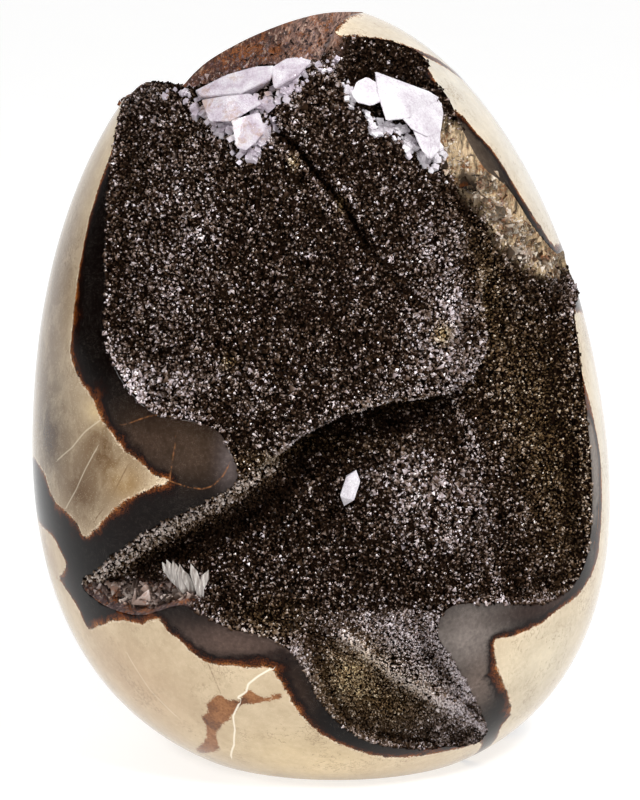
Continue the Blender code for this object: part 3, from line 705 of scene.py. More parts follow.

# Broken stone: the floors of the hollows under the crystals, and the ledges that carry none.
# Its shade comes from the mesh, near black under the crystals as painted shade in the gaps between
# them, and is broken up by grain, rust stains and rough facets.
broken_stone, tree, shader = new_material("Broken stone", IOR=1.45)
shade = attribute(tree, "floor_shade", "Color")
drawn = wired(tree, "Mapping", {"Vector": body_place(tree), "Rotation": (0.3, 0.5, 0.2),
                                "Scale": (1600.0, 1600.0, 380.0)})
fibres = wired(tree, "TexNoise", {"Vector": drawn, "Scale": 1.0, "Detail": 4.0, "Roughness": 0.7})
shade = mixed(tree, remapped(tree, fibres, 0.38, 0.58, 0.85, 0.0), shade, colour(34, 25, 20))
uncrusted = attribute(tree, "bare")
glints = product(tree, remapped(tree, fibres, 0.56, 0.74, 0.0, 0.8), uncrusted)
shade = mixed(tree, glints, shade, colour(206, 190, 170))
stain = product(tree, clouds(tree, 0.0026, 0.4, 0.55, 0.80, 0.0, 0.8), uncrusted)
shade = mixed(tree, stain, shade, colour(138, 80, 36))
feed(tree, shader, Base_Color=shade, Normal=bump(tree, fibres, 0.9, 0.0010),
     Roughness=remapped(tree, fibres, 0.3, 0.7, 0.35, 0.80),
     Specular_IOR_Level=remapped(tree, uncrusted, 0.6, 1.0, 0.0, 0.35))

nodule = egg_mesh("nodule_stone", polished)
cut_by(nodule, sheet_solid("front_cutter", FRONT_REACH, front_floor_place, front_lid))
cut_by(nodule, sheet_solid("top_cutter", TOP_REACH, top_floor_place, top_lid))


def store(mesh, name, values):
    """Keeps a number or a colour for each point of a mesh, for its material to read."""
    if values.ndim == 1:
        mesh.attributes.new(name, "FLOAT", "POINT").data.foreach_set("value", values)
    else:
        four = np.concatenate([values, np.ones((len(values), 1))], 1)
        kept = mesh.attributes.new(name, "FLOAT_COLOR", "POINT")
        kept.data.foreach_set("color", four.ravel())


def near_arc(arc, middle):
    """Brings arcs to within half a turn of a middle, also across the back."""
    return middle + (arc - middle + AROUND / 2) % AROUND - AROUND / 2


def line_side(arc, height, lines):
    """Distance from the nearest line, below zero on its right, so that thin lines stay sharp."""
    nearest = np.full(arc.shape, np.inf)
    side = np.zeros(arc.shape)
    for start, end in [run for line in lines for run in zip(line, line[1:])]:
        away = distance_to(arc, height, [(start, end)])
        turn = (end[0] - start[0]) * (height - start[1]) - (end[1] - start[1]) * (arc - start[0])
        side = np.where(away < nearest, np.sign(turn) * away, side)
        nearest = np.minimum(away, nearest)
    return side


def tinted(arc, height, shade, tints):
    """A shade with soft patches of other shades over it."""
    value = np.array(colour(*shade)[:3]) + np.zeros((len(arc), 3))
    for *placed, tint in tints:
        middle_arc, middle_height, wide, tall = tenths(placed)
        away = ((near_arc(arc, middle_arc) - middle_arc) / wide) ** 2
        away += ((height - middle_height) / tall) ** 2
        value += (np.array(colour(*tint)[:3]) - value) * np.exp(-away)[:, None]
    return value


MM = 1000.0
RAGGED_FROM = 0.080
RAGGED_OVER = 0.020
points = np.empty(len(nodule.data.vertices) * 3)
nodule.data.vertices.foreach_get("co", points)
points = points.reshape(-1, 3)
arc, height = unrolled(points)
cells = [inside_by(near_arc(arc, cell[:, 0].mean()), height, smooth_outline(cell, 3))
         for cell in LIMESTONE_CELLS]
behind = np.clip((np.abs(arc) - RAGGED_FROM) / RAGGED_OVER, 0.0, 1.0)
ragged = 0.0012 * lumpiness(arc, height, 0.0070, 11.0) + 0.0008 * facets(arc, height, 0.0060, 26)
store(nodule.data, "cell_mm", MM * (np.max(cells, 0) + behind * ragged))
store(nodule.data, "brown_mm", MM * inside_by(arc, height, smooth_outline(BROWN_VEIN)))
for line_name, lines in (("light", LIGHT_HAIRLINES), ("scratch", SCRATCHES),
                         ("rust", RUST_HAIRLINES)):
    store(nodule.data, line_name + "_mm", MM * line_distance(arc, height, lines))
    store(nodule.data, line_name + "_side", MM * line_side(arc, height, lines))
store(nodule.data, "limestone_shade", tinted(arc, height, LIMESTONE_SHADE, LIMESTONE_TINTS_AND_PAINTED_REFLECTION))
store(nodule.data, "vein_shade", tinted(arc, height, VEIN_SHADE, VEIN_TINTS))

HONEY, PURPLE, PAINTED_SHADE_UNDER_CRYSTALS, REAR_BROWN, REAR_PEACH = np.array([
    colour(196, 170, 134), colour(92, 74, 74), colour(10, 7, 5), colour(88, 52, 40),
    colour(170, 134, 120)])[:, :3]
TOP_FROM = 0.100
PEACH_FROM = -0.006
PEACH_OVER = 0.010
top_x, top_y = points[:, 0], points[:, 1] - AXIS_FORWARD
in_top = (height > TOP_FROM) & (inside_by(top_x, top_y, smooth_outline(TOP_RIM)) > -0.001)
bare = np.where(in_top, 1.0 - top_crusted(top_x, top_y), 1.0 - front_crusted(arc, height))
store(nodule.data, "bare", bare)
peach = soft_step(top_x - PEACH_FROM, PEACH_OVER)[:, None]
rear = REAR_BROWN + (REAR_PEACH - REAR_BROWN) * peach
side = np.where((arc > 0.0)[:, None], HONEY, PURPLE)
ledge = np.where(in_top[:, None], rear, side)
# Under the crystals the floor is painted near black: painted shade in the gaps between them
store(nodule.data, "floor_shade", PAINTED_SHADE_UNDER_CRYSTALS + (ledge - PAINTED_SHADE_UNDER_CRYSTALS) * bare[:, None])
for face in nodule.data.polygons:
    face.use_smooth = face.material_index == 0
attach(nodule, "root")
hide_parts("nodule")

# Druse: a carpet of small dark calcite crystals that grew on the floors of both hollows.
# Each is the corner of a rhomb, three faces round a point, rooted in the floor.
DRUSE_PER_MM2 = 4.8
DRUSE_SIZE = 0.00036
DRUSE_SPREAD = 0.28
DRUSE_TILT = 0.42
DRUSE_RISE = 1.15
DRUSE_SUNK = 0.22
# Tones added at each crystal's tip, edges and foot: the tip paler as painted light, the foot darker
# as painted shade in the gaps
DRUSE_TIP_PAINTED_LIGHT = 0.16
DRUSE_EDGE_TONE = 0.02
DRUSE_FOOT_PAINTED_SHADE = -0.38
druse, tree, shader = new_material("Dark druse", IOR=1.5)
tone = attribute(tree, "tone")
body = ramp(tree, tone, (0.0, 5, 3, 2), (0.26, 50, 37, 30), (0.48, 104, 88, 80),
            (0.75, 162, 148, 152), (1.0, 224, 216, 222))
warm = ramp(tree, tone, (0.0, 16, 10, 4), (0.40, 116, 92, 62), (1.0, 206, 184, 140))
body = mixed(tree, attribute(tree, "warm"), body, warm)
grain = mottled(tree, 0.0006, 0.5)
feed(tree, shader, Base_Color=body, Normal=bump(tree, grain, 0.15, 0.0001),
     Roughness=remapped(tree, grain, 0.0, 1.0, 0.08, 0.26),
     Specular_IOR_Level=remapped(tree, tone, 0.20, 0.65, 0.02, 0.60))


def druse_sites(mesh, keep, draws, per_mm2):
    """Even random sites over the faces that keep says yes to, with the faces' normals."""
    mesh.calc_loop_triangles()
    count = len(mesh.loop_triangles)
    corners, faces = np.empty(count * 3, int), np.empty(count, int)
    mesh.loop_triangles.foreach_get("vertices", corners)
    mesh.loop_triangles.foreach_get("polygon_index", faces)
    slots = np.empty(len(mesh.polygons), int)
    mesh.polygons.foreach_get("material_index", slots)
    triangles = points[corners.reshape(-1, 3)]
    middles = triangles.mean(1)
    chosen = (slots[faces] == 1) & keep(middles)
    triangles, middles = triangles[chosen], middles[chosen]
    order = np.lexsort(np.round(middles, 7).T)
    triangles = triangles[order]
    across = np.cross(triangles[:, 1] - triangles[:, 0], triangles[:, 2] - triangles[:, 0])
    areas = 0.5 * np.linalg.norm(across, axis=1)
    total = int(areas.sum() * 1e6 * per_mm2)
    steps = np.cumsum(areas) / areas.sum()
    picks = np.searchsorted(steps, (np.arange(total) + draws.random(total)) / total)
    picks = np.clip(picks, 0, len(triangles) - 1)
    a, b = draws.random((2, total))
    over = a + b > 1.0
    a, b = np.where(over, 1.0 - a, a), np.where(over, 1.0 - b, b)
    t = triangles[picks]
    sites = t[:, 0] + a[:, None] * (t[:, 1] - t[:, 0]) + b[:, None] * (t[:, 2] - t[:, 0])
    return sites, across[picks] / (2.0 * areas[picks][:, None])


def crystal_mesh(name, sites, normals, sizes, tones, warms, draws, tilt, sunk, material):
    """Joins one rhomb corner for each site into a mesh."""
    count = len(sites)
    aim = normals + tilt * draws.normal(size=(count, 3))
    aim /= np.linalg.norm(aim, axis=1)[:, None]
    side = np.cross(aim, draws.normal(size=(count, 3)))
    side /= np.linalg.norm(side, axis=1)[:, None]
    other = np.cross(aim, side)
    turns = np.arange(6) * math.pi / 3
    ring = (side[:, None] * np.cos(turns)[None, :, None]
            + other[:, None] * np.sin(turns)[None, :, None])
    fall = np.where(np.arange(6) % 2 == 0, 0.35, -0.30) * DRUSE_RISE
    ring = ring + aim[:, None] * fall[None, :, None]
    tip = aim[:, None] * DRUSE_RISE
    corners = np.concatenate([tip, ring], 1) * sizes[:, None, None]
    corners += (sites - sunk * normals * sizes[:, None])[:, None]
    first = (np.arange(count) * 7)[:, None, None]
    quads = np.array([[0, 6, 1, 2], [0, 2, 3, 4], [0, 4, 5, 6]])
    corners_of = (first + quads[None]).reshape(-1)
    mesh = bpy.data.meshes.new(name)
    mesh.vertices.add(count * 7)
    mesh.vertices.foreach_set("co", corners.ravel())
    mesh.loops.add(len(corners_of))
    mesh.loops.foreach_set("vertex_index", corners_of)
    mesh.polygons.add(count * 3)
    mesh.polygons.foreach_set("loop_start", np.arange(count * 3) * 4)
    mesh.update(calc_edges=True)
    # Each crystal's tip is made paler and its foot darker: painted light on tips, painted shade
    # between crystals and between rubble blocks
    painted_tip_and_foot = np.array([DRUSE_TIP_PAINTED_LIGHT] + 3 * [DRUSE_EDGE_TONE, DRUSE_FOOT_PAINTED_SHADE])
    store(mesh, "tone", np.clip(tones[:, None] + painted_tip_and_foot[None, :], 0.0, 1.0).ravel())
    store(mesh, "warm", np.repeat(warms, 7))
    return placed_object(name, mesh, material)


# Patches of paler, warmer and finer crystals as (arc, height, width, tallness, strength)
# In the paler patches, rows with a negative strength are painted shade under the block's edge and
# on the tongue's lower face; the others are lighter crystals, partly their own colour and partly
# painted light on faces turned up to the lamps
PALE_PATCHES_AND_PAINTED_SHADE = [
    (-330, 930, 100, 180, 0.12), (-440, 1130, 120, 50, 0.12), (310, 830, 80, 110, 0.22),
    (40, 225, 40, 40, 0.24), (180, 255, 70, 60, 0.52), (110, 310, 60, 40, 0.34),
    (250, 190, 50, 50, 0.50), (130, 150, 80, 35, -0.20), (-278, 1020, 70, 50, 0.20),
    (-235, 958, 60, 50, 0.18), (-282, 845, 90, 80, 0.16), (-312, 713, 60, 30, 0.30),
    (-209, 713, 60, 30, 0.28), (-97, 710, 50, 30, 0.24), (235, 1037, 60, 30, 0.18),
    (292, 940, 60, 50, 0.20), (304, 843, 60, 60, 0.26), (221, 769, 60, 50, 0.22),
    (155, 716, 60, 30, 0.20), (300, 725, 70, 30, 0.20), (-550, 1168, 160, 16, 0.24),
    (133, 1221, 90, 20, 0.34), (180, 1180, 60, 30, 0.16), (-257, 1130, 60, 30, 0.40),
    (-130, 1110, 50, 30, 0.40), (-40, 1185, 60, 30, 0.34), (300, 1110, 40, 30, 0.34),
    (400, 1090, 30, 50, 0.36), (180, 570, 80, 40, 0.22), (240, 520, 100, 80, 0.14),
    (140, 500, 80, 70, 0.10), (268, 460, 80, 60, 0.14), (-330, 370, 90, 30, 0.16),
    (-50, 400, 80, 40, 0.10), (451, 664, 16, 16, 0.30), (444, 573, 14, 14, 0.30),
    (261, 384, 16, 16, 0.30), (-100, 515, 70, 50, -0.16), (63, 600, 140, 40, -0.14),
    (230, 640, 120, 30, -0.12),
]
WARM_PATCHES = [
    (38, 228, 60, 60, 0.9), (-40, 600, 200, 16, 0.4), (200, 672, 120, 16, 0.4),
    (500, 600, 90, 220, 0.6), (120, 170, 80, 60, 0.6), (-26, 1067, 14, 12, 1.0),
    (89, 999, 12, 12, 1.0), (275, 785, 20, 16, 1.0), (-156, 753, 12, 12, 0.8),
    (440, 850, 40, 100, 0.5), (-100, 330, 60, 30, 0.4),
]
FINE_PATCHES = [
    (170, 260, 80, 70, -0.36), (80, 200, 80, 60, -0.26), (500, 600, 110, 200, -0.14),
    (-280, 720, 160, 40, 0.35), (300, 760, 90, 60, 0.30), (210, 540, 90, 60, 0.30),
    (100, 1160, 160, 60, 0.25),
]
# Crystals standing out of the floor are made paler and those in dips darker: painted light on
# rises, painted shade in hollows
RELIEF_REACH = 0.0026
RELIEF_PAINTED_SHADE = 190.0
RELIEF_LIMIT = 0.22
CLOUD_TONE = 0.12
TONE_SCATTER = 0.26
BRIGHT_FROM = 0.985
BRIGHT_TONE = 0.3
LOWER_LIP = tenths([
    (-465, 345), (-412, 376), (-288, 460), (-193, 512), (-128, 555), (-84, 585),
])
# Lines of paler or darker crystals as (line, width, strength). The paler ones run along the block's
# edges, the rims and the ridge's crest, partly their own colour and partly painted highlight where
# the edges catch the light; the darker ones are painted shade under the lower lip and along the
# crack
PALE_LIPS_AND_PAINTED_SHADE = [
    (LOWER_LIP, 0.0011, 0.50),
    (tenths([(-400, 345), (-288, 415), (-193, 470), (-80, 545)]), 0.0018, -0.30),
    (tenths([(-84, 588), (-30, 629), (43, 662), (154, 679), (233, 680), (300, 686)]), 0.0010, 0.30),
    (tenths([(-391, 774), (-359, 735), (-317, 702), (-265, 676), (-209, 670)]), 0.0016, 0.28),
    (tenths([(-240, 335), (-160, 318), (-102, 308), (-62, 284), (-40, 248)]), 0.0012, 0.22),
    (tenths([(350, 705), (381, 737), (415, 800), (425, 880)]), 0.0014, 0.24),
    (tenths([(333, 673), (339, 606), (334, 540), (324, 473), (318, 405), (313, 345)]), 0.0012,
     0.34),
    (RIDGE, 0.0007, 0.52),
    (CRACK, 0.0007, -0.24),
    (CRACK[:7], 0.0008, -0.24),
]


def patchy(arc, height, patches):
    value = np.zeros(arc.shape)
    for *placed, strength in patches:
        middle_arc, middle_height, wide, tall = tenths(placed)
        away = ((arc - middle_arc) / wide) ** 2 + ((height - middle_height) / tall) ** 2
        value += strength * np.exp(-away)
    return value


def relief(arc, height):
    """How far the front floor stands out of its surroundings; below zero in a dip."""
    around = np.zeros(arc.shape)
    for turn in np.arange(6) * math.pi / 3:
        beside = front_depth(arc + RELIEF_REACH * math.cos(turn),
                             height + RELIEF_REACH * math.sin(turn))
        around += np.clip(beside, 0.0, None) / 6.0
    return around - front_depth(arc, height)


def druse_piece(name, keep, seed, painted_relief_shade, base_tone, size=DRUSE_SIZE, per_mm2=DRUSE_PER_MM2):
    draws = np.random.default_rng(seed)
    sites, normals = druse_sites(nodule.data, keep, draws, per_mm2)
    arc, height = unrolled(sites)
    cloud = lumpiness(arc, height, 0.0045, 7.0) + 0.6 * lumpiness(arc, height, 0.0015, 8.0)
    tones = base_tone + CLOUD_TONE * cloud + patchy(arc, height, PALE_PATCHES_AND_PAINTED_SHADE)
    # Painted shade in dips and painted light on rises, from how far the floor stands out
    tones += painted_relief_shade * np.clip(RELIEF_PAINTED_SHADE * relief(arc, height), -RELIEF_LIMIT, RELIEF_LIMIT)
    for line, wide, strength in PALE_LIPS_AND_PAINTED_SHADE:
        tones += strength * np.exp(-(line_distance(arc, height, [line]) / wide) ** 2)
    tones += TONE_SCATTER * draws.normal(size=len(sites))
    bright = draws.random(len(sites)) > BRIGHT_FROM
    tones = np.clip(tones + BRIGHT_TONE * bright, 0.0, 1.0)
    warms = patchy(arc, height, WARM_PATCHES) + 0.15 * draws.random(len(sites))
    warms += 0.3 * np.exp(-(line_distance(arc, height, [LOWER_LIP]) / 0.0018) ** 2)
    warms = np.clip(warms, 0.0, 1.0)
    sizes = size * np.exp(DRUSE_SPREAD * draws.normal(size=len(sites)))
    sizes *= 1.0 + patchy(arc, height, FINE_PATCHES)
    made = crystal_mesh(name, sites, normals, sizes, tones, warms, draws, DRUSE_TILT, DRUSE_SUNK,
                        druse)
    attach(made, "root")
    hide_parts("druse_crust")


def sorted_floor(middles):
    """Which of the three stretches of druse a place is on, or none on bare stone."""
    arc, height = unrolled(middles)
    x, y = middles[:, 0], middles[:, 1] - AXIS_FORWARD
    top = (height > TOP_FROM) & (inside_by(x, y, smooth_outline(TOP_RIM)) > -0.0005)
    crusted = np.where(top, top_crusted(x, y), front_crusted(arc, height)) > 0.5
    upper = inside_by(arc, height, BLOCK_EDGE) > 0.0
    which = np.where(top, 3, np.where(upper, 1, 2))
    return np.where(crusted, which, 0)


def on_tongue(middles):
    """The lowest tongue, where finer crystals fill the gaps between the larger ones."""
    arc, height = unrolled(middles)
    return (sorted_floor(middles) == 2) & (height < TONGUE_TOP) & (arc > TONGUE_LEFT)


TONGUE_TOP = 0.0340
TONGUE_LEFT = -0.0060
FINE_SIZE = 0.00031
FINE_PER_MM2 = 9.0
# The top hollow's crystals start darker, as painted shade in its deep pocket; the tongue's fine
# crystals start paler, partly their own greyer colour and partly painted light on the tongue's
# upward face
druse_piece("upper_druse", lambda middles: sorted_floor(middles) == 1, 11, 1.0, 0.24)
druse_piece("lower_druse", lambda middles: sorted_floor(middles) == 2, 12, 1.0, 0.24)
druse_piece("top_druse", lambda middles: sorted_floor(middles) == 3, 13, 0.0, 0.06)
druse_piece("fine_druse", on_tongue, 14, 1.0, 0.36, FINE_SIZE, FINE_PER_MM2)

# Rubble: broken blocks of stone on the bare ledges and on the wall behind the crest.
# They are rhomb corners of a larger size, honey-coloured, purple-brown and rusty.
RUBBLE_SIZES = [(0.0010, 0.8), (0.0006, 2.2)]
RUBBLE_TILT = 0.55
RUBBLE_SUNK = 0.65
RUBBLE_CLEAR = 0.0008
LEFT_TILT = 0.80
LEFT_SUNK = 0.20
LEDGES_END = 0.115
BEHIND_CREST = -0.012
rubble, tree, shader = new_material("Ledge rubble", IOR=1.45, Specular_IOR_Level=0.35)
tone = attribute(tree, "tone")
honey = ramp(tree, tone, (0.0, 26, 18, 14), (0.35, 96, 80, 66),
             (0.65, 164, 142, 116), (1.0, 232, 222, 206))
purple = ramp(tree, tone, (0.0, 18, 10, 8), (0.35, 66, 48, 46),
              (0.65, 112, 92, 96), (1.0, 196, 176, 174))
rock = mixed(tree, attribute(tree, "warm"), purple, honey)
rusty = clouds(tree, 0.0030, 0.3, 0.55, 0.80, 0.0, 0.75)
rock = mixed(tree, rusty, rock, colour(134, 74, 32))
grain = mottled(tree, 0.0008, 0.5)
feed(tree, shader, Base_Color=rock, Normal=bump(tree, grain, 0.5, 0.0003),
     Roughness=remapped(tree, grain, 0.0, 1.0, 0.25, 0.65))


def rubble_piece(name, keep, seed, honeyed, base_tone, tilt=RUBBLE_TILT, sunk=RUBBLE_SUNK):
    draws = np.random.default_rng(seed)
    parts = [druse_sites(nodule.data, keep, draws, density) for _, density in RUBBLE_SIZES]
    sizes = np.concatenate([np.full(len(sites), size)
                            for (sites, _), (size, _) in zip(parts, RUBBLE_SIZES)])
    sites, normals = (np.concatenate(both) for both in zip(*parts))
    arc, height = unrolled(sites)
    tones = base_tone + 0.30 * facets(arc + 0.5 * height, height, 0.0030, 25)
    tones += 0.30 * lumpiness(arc, height, 0.0075, 12.0) + 0.10 * draws.normal(size=len(sites))
    warms = np.full(len(sites), honeyed) + 0.3 * lumpiness(arc, height, 0.0040, 10.0)
    sizes = sizes * np.exp(0.3 * draws.normal(size=len(sites)))
    made = crystal_mesh(name, sites, normals, sizes, np.clip(tones, 0.0, 1.0),
                        np.clip(warms, 0.0, 1.0), draws, tilt, sunk, rubble)
    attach(made, "root")
    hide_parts("nodule")


def bare_ledge(middles, side):
    arc, height = unrolled(middles)
    inside = inside_by(arc, height, smooth_outline(FRONT_RIM)) > RUBBLE_CLEAR
    return (sorted_floor(middles) == 0) & inside & (height < LEDGES_END) & (arc * side > 0.0)


def rear_wall(middles):
    inside = inside_by(middles[:, 0], middles[:, 1] - AXIS_FORWARD, smooth_outline(TOP_RIM))
    behind = middles[:, 1] > BEHIND_CREST
    return (sorted_floor(middles) == 0) & (inside > RUBBLE_CLEAR) & behind


rubble_piece("right_ledge", lambda middles: bare_ledge(middles, 1.0), 31, 0.9, 0.95)
rubble_piece("left_ledge", lambda middles: bare_ledge(middles, -1.0), 32, 0.42, 0.66, LEFT_TILT,
             LEFT_SUNK)
rubble_piece("rear_wall", rear_wall, 33, 0.1, 0.48)

# Clear calcite: smooth lilac-white crystals, grown together on the crest at the upper left.
# Each is the hull of its corners with worn edges, and small rhombs crowd round their feet.
CLEAR_CRYSTALS = [tenths(row) for row in [
    [(-211, -211, 1176), (-159, -219, 1203), (-111, -223, 1217), (-79, -223, 1219),
     (-84, -252, 1198), (-135, -260, 1175), (-198, -233, 1167), (-204, -185, 1155),
     (-157, -180, 1165), (-110, -185, 1175), (-90, -195, 1175), (-136, -215, 1150)],
    [(-86, -227, 1214), (-59, -215, 1230), (-39, -215, 1232), (-16, -217, 1227), (-25, -231, 1218),
     (-41, -249, 1203), (-79, -260, 1184), (-80, -194, 1180), (-53, -190, 1190), (-30, -192, 1190),
     (-50, -212, 1170)],
    [(-200, -234, 1162), (-186, -264, 1129), (-149, -283, 1131), (-98, -276, 1160),
     (-118, -262, 1176), (-160, -254, 1171), (-190, -206, 1156), (-179, -231, 1132),
     (-119, -221, 1161), (-149, -241, 1136)],
    [(-149, -280, 1134), (-141, -302, 1090), (-123, -307, 1086), (-108, -306, 1100),
     (-92, -297, 1116), (-102, -281, 1147), (-125, -286, 1141), (-142, -243, 1123),
     (-129, -258, 1092), (-106, -250, 1114), (-112, -242, 1136)],
]]
CALCITE_PRESS = 0.78
CALCITE_WEAR = 0.00015
GRAIN_TILT = 0.9
GRAIN_SIZES = (0.35, 1.1)
GRAIN_WIDTHS = (0.6, 1.0)
GRAIN_LENGTHS = (0.8, 1.7)
GRAIN_SUNK = 0.1
clear_calcite, tree, shader = new_material("Clear calcite", IOR=1.58, Transmission_Weight=0.4,
                                           Coat_Weight=0.3)
haze = ramp(tree, mottled(tree, 0.0030, 0.3), (0.0, 184, 166, 178),
            (0.45, 222, 210, 222), (1.0, 250, 246, 250))
amber = clouds(tree, 0.0045, 0.2, 0.66, 0.92, 0.0, 0.5)
haze = mixed(tree, amber, haze, colour(184, 138, 88))
feed(tree, shader, Base_Color=haze, Normal=bump(tree, mottled(tree, 0.0015, 0.3), 0.5, 0.0006),
     Roughness=clouds(tree, 0.002, 0.4, 0.0, 1.0, 0.04, 0.28))


def standing(arc, height, depth):
    """A frame on the crust whose Z axis points out of the egg."""
    angle = arc / UNROLL
    out = Vector((math.sin(angle), -math.cos(angle), 0.0))
    turn = out.to_track_quat("Z", "Y").to_matrix().to_4x4()
    return Matrix.Translation(egg_place(arc, height, depth).tolist()) @ turn


def modelled(name, bm, material):
    mesh = bpy.data.meshes.new(name)
    bm.to_mesh(mesh)
    bm.free()
    return placed_object(name, mesh, material)


def calcite_lumps(name, crystals, grains, material, seed):
    """Crystals with flat faces, each the hull of its corners, and a scatter of small rhombs."""
    draws = random.Random(seed)
    bm = bmesh.new()
    for corners in crystals:
        verts = [bm.verts.new(corner) for corner in corners.tolist()]
        hull = bmesh.ops.convex_hull(bm, input=verts)
        bmesh.ops.delete(bm, geom=hull["geom_interior"], context="VERTS")
    bmesh.ops.bevel(bm, geom=bm.edges[:], offset=CALCITE_WEAR, segments=2, affect="EDGES")
    press = Matrix.Scale(CALCITE_PRESS, 4, Vector((1.0, 1.0, 1.0)).normalized())
    for *placed, count in grains:
        middle_arc, middle_height, wide, tall, size = tenths(placed).tolist()
        for _ in range(count):
            arc = draws.gauss(middle_arc, wide)
            height = draws.gauss(middle_height, tall)
            tilt = Matrix.Rotation(draws.uniform(0.0, math.pi), 4, "Z")
            tilt = Matrix.Rotation(draws.uniform(-GRAIN_TILT, GRAIN_TILT), 4, "X") @ tilt
            grown = size * draws.uniform(*GRAIN_SIZES)
            width, length = draws.uniform(*GRAIN_WIDTHS), draws.uniform(*GRAIN_LENGTHS)
            long = Matrix.Diagonal((1.0, width, length, 1.0))
            floor = float(front_depth(np.array([arc]), np.array([height]))[0])
            place = standing(arc, height, max(floor - GRAIN_SUNK * grown, 0.0))
            bmesh.ops.create_cube(bm, size=grown, matrix=place @ tilt @ press @ long)
    return modelled(name, bm, material)


# Small rhombs as (arc, height, spread across, spread up, size) in tenths, and how many
CLEAR_GRAINS = [
    (-300, 1145, 30, 12, 14, 26), (-240, 1129, 22, 10, 16, 26), (-185, 1120, 18, 12, 15, 26),
    (-160, 1090, 16, 12, 13, 24), (-135, 1082, 14, 8, 12, 14), (-100, 1112, 14, 12, 13, 20),
    (-130, 1150, 18, 10, 15, 22), (-60, 1178, 20, 10, 15, 22), (-10, 1196, 20, 10, 13, 16),
    (90, 1216, 40, 6, 9, 16), (-400, 1168, 50, 6, 9, 20),
]
clear_lumps = calcite_lumps("clear_calcite_lumps", CLEAR_CRYSTALS, CLEAR_GRAINS,
                            clear_calcite, 7)
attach(clear_lumps, "root")
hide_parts("clear_calcite")

# White calcite: one big bright rhomb and smaller ones beside it, on the crest at the right.
# They are made as the clear ones are, and small white rhombs run down the crest beside them.
WHITE_CRYSTALS = [tenths(row) for row in [
    [(88, -209, 1208), (181, -180, 1171), (200, -169, 1158), (139, -243, 1153), (146, -247, 1133),
     (106, -269, 1131), (91, -243, 1176), (96, -180, 1180), (179, -155, 1150), (194, -150, 1140),
     (137, -198, 1130), (110, -211, 1133)],
    [(48, -252, 1174), (58, -234, 1193), (75, -221, 1200), (98, -226, 1186), (104, -248, 1163),
     (81, -261, 1155), (58, -261, 1160), (57, -208, 1173), (74, -190, 1175), (92, -194, 1170),
     (95, -215, 1157)],
    [(129, -252, 1137), (146, -228, 1155), (200, -165, 1160), (204, -186, 1137), (198, -222, 1107),
     (176, -251, 1101), (149, -258, 1115), (141, -192, 1134), (196, -143, 1146), (195, -174, 1109),
     (154, -200, 1115)],
    [(149, -253, 1118), (176, -245, 1107), (198, -219, 1110), (196, -244, 1080), (179, -266, 1066),
     (164, -264, 1082), (157, -203, 1109), (191, -185, 1100), (187, -204, 1068), (171, -208, 1079)],
]]
white_calcite, tree, shader = new_material("White calcite", IOR=1.58, Transmission_Weight=0.15)
frost = ramp(tree, mottled(tree, 0.0035, 0.4), (0.0, 176, 164, 174),
             (0.5, 208, 202, 208), (1.0, 232, 230, 232))
feed(tree, shader, Base_Color=frost, Roughness=clouds(tree, 0.001, 0.4, 0.0, 1.0, 0.12, 0.40))
WHITE_GRAINS = [
    (165, 1166, 12, 10, 13, 18), (250, 1118, 22, 6, 12, 24), (310, 1098, 14, 12, 13, 28),
    (350, 1066, 14, 10, 12, 26), (385, 1080, 12, 20, 12, 24), (210, 1131, 12, 10, 10, 12),
]
white_lumps = calcite_lumps("white_calcite_lumps", WHITE_CRYSTALS, WHITE_GRAINS,
                            white_calcite, 8)
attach(white_lumps, "root")
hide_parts("white_calcite")

# Blades and a point: small white crystals that stand alone on the lower crust.
# They are six-sided and pointed at both ends; the blades are flattened.
BLADES = [
    (-0.0278, 0.0392, 0.0036, -34.0, 0.0050), (-0.0270, 0.0392, 0.0034, -24.0, 0.0058),
    (-0.0261, 0.0390, 0.0032, -15.0, 0.0060), (-0.0251, 0.0386, 0.0030, -8.0, 0.0056),
    (-0.0240, 0.0383, 0.0032, -26.0, 0.0052), (-0.0222, 0.0386, 0.0030, -18.0, 0.0068),
    (-0.0214, 0.0384, 0.0034, 24.0, 0.0050),
]
BLADE_WIDTH = 0.0017
BLADE_THICKNESS = 0.0008
blade_calcite, tree, shader = new_material("Blade calcite", IOR=1.58, Transmission_Weight=0.4)
streaks = wired(tree, "Mapping", {"Vector": body_place(tree), "Scale": (2600.0, 2600.0, 320.0)})
streaks = wired(tree, "TexNoise", {"Vector": streaks, "Scale": 1.0, "Detail": 2.0})
grey = ramp(tree, streaks, (0.30, 122, 110, 104), (0.70, 216, 208, 200))
feed(tree, shader, Base_Color=grey, Roughness=remapped(tree, streaks, 0.3, 0.7, 0.08, 0.30))
POINT_PLACE = (0.0060, 0.0535, 0.0105)
POINT_LENGTH = 0.0064
POINT_WIDTH = 0.0032
POINT_TILT = 18.0


def pointed_crystals(name, crystals, material):
    """Six-sided crystals from (arc, height, depth, tilt, length, width, thickness) rows."""
    bm = bmesh.new()
    for arc, height, depth, tilt, length, width, thickness in crystals:
        lean = Matrix.Rotation(math.radians(tilt), 4, "Y")
        size = Matrix.Diagonal((width / 2, thickness / 2, length / 2, 1.0))
        place = Matrix.Translation(egg_place(arc, height, depth).tolist()) @ lean @ size
        bmesh.ops.create_uvsphere(bm, u_segments=6, v_segments=3, radius=1.0, matrix=place)
    made = modelled(name, bm, material)
    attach(made, "root")
    return made


blades = pointed_crystals("white_blades", [(*b, BLADE_WIDTH, BLADE_THICKNESS) for b in BLADES],
                          blade_calcite)
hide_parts("calcite_blades")
point = pointed_crystals("white_point", [(*POINT_PLACE, POINT_TILT, POINT_LENGTH, POINT_WIDTH,
                                          POINT_WIDTH)], white_calcite)
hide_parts("calcite_point")

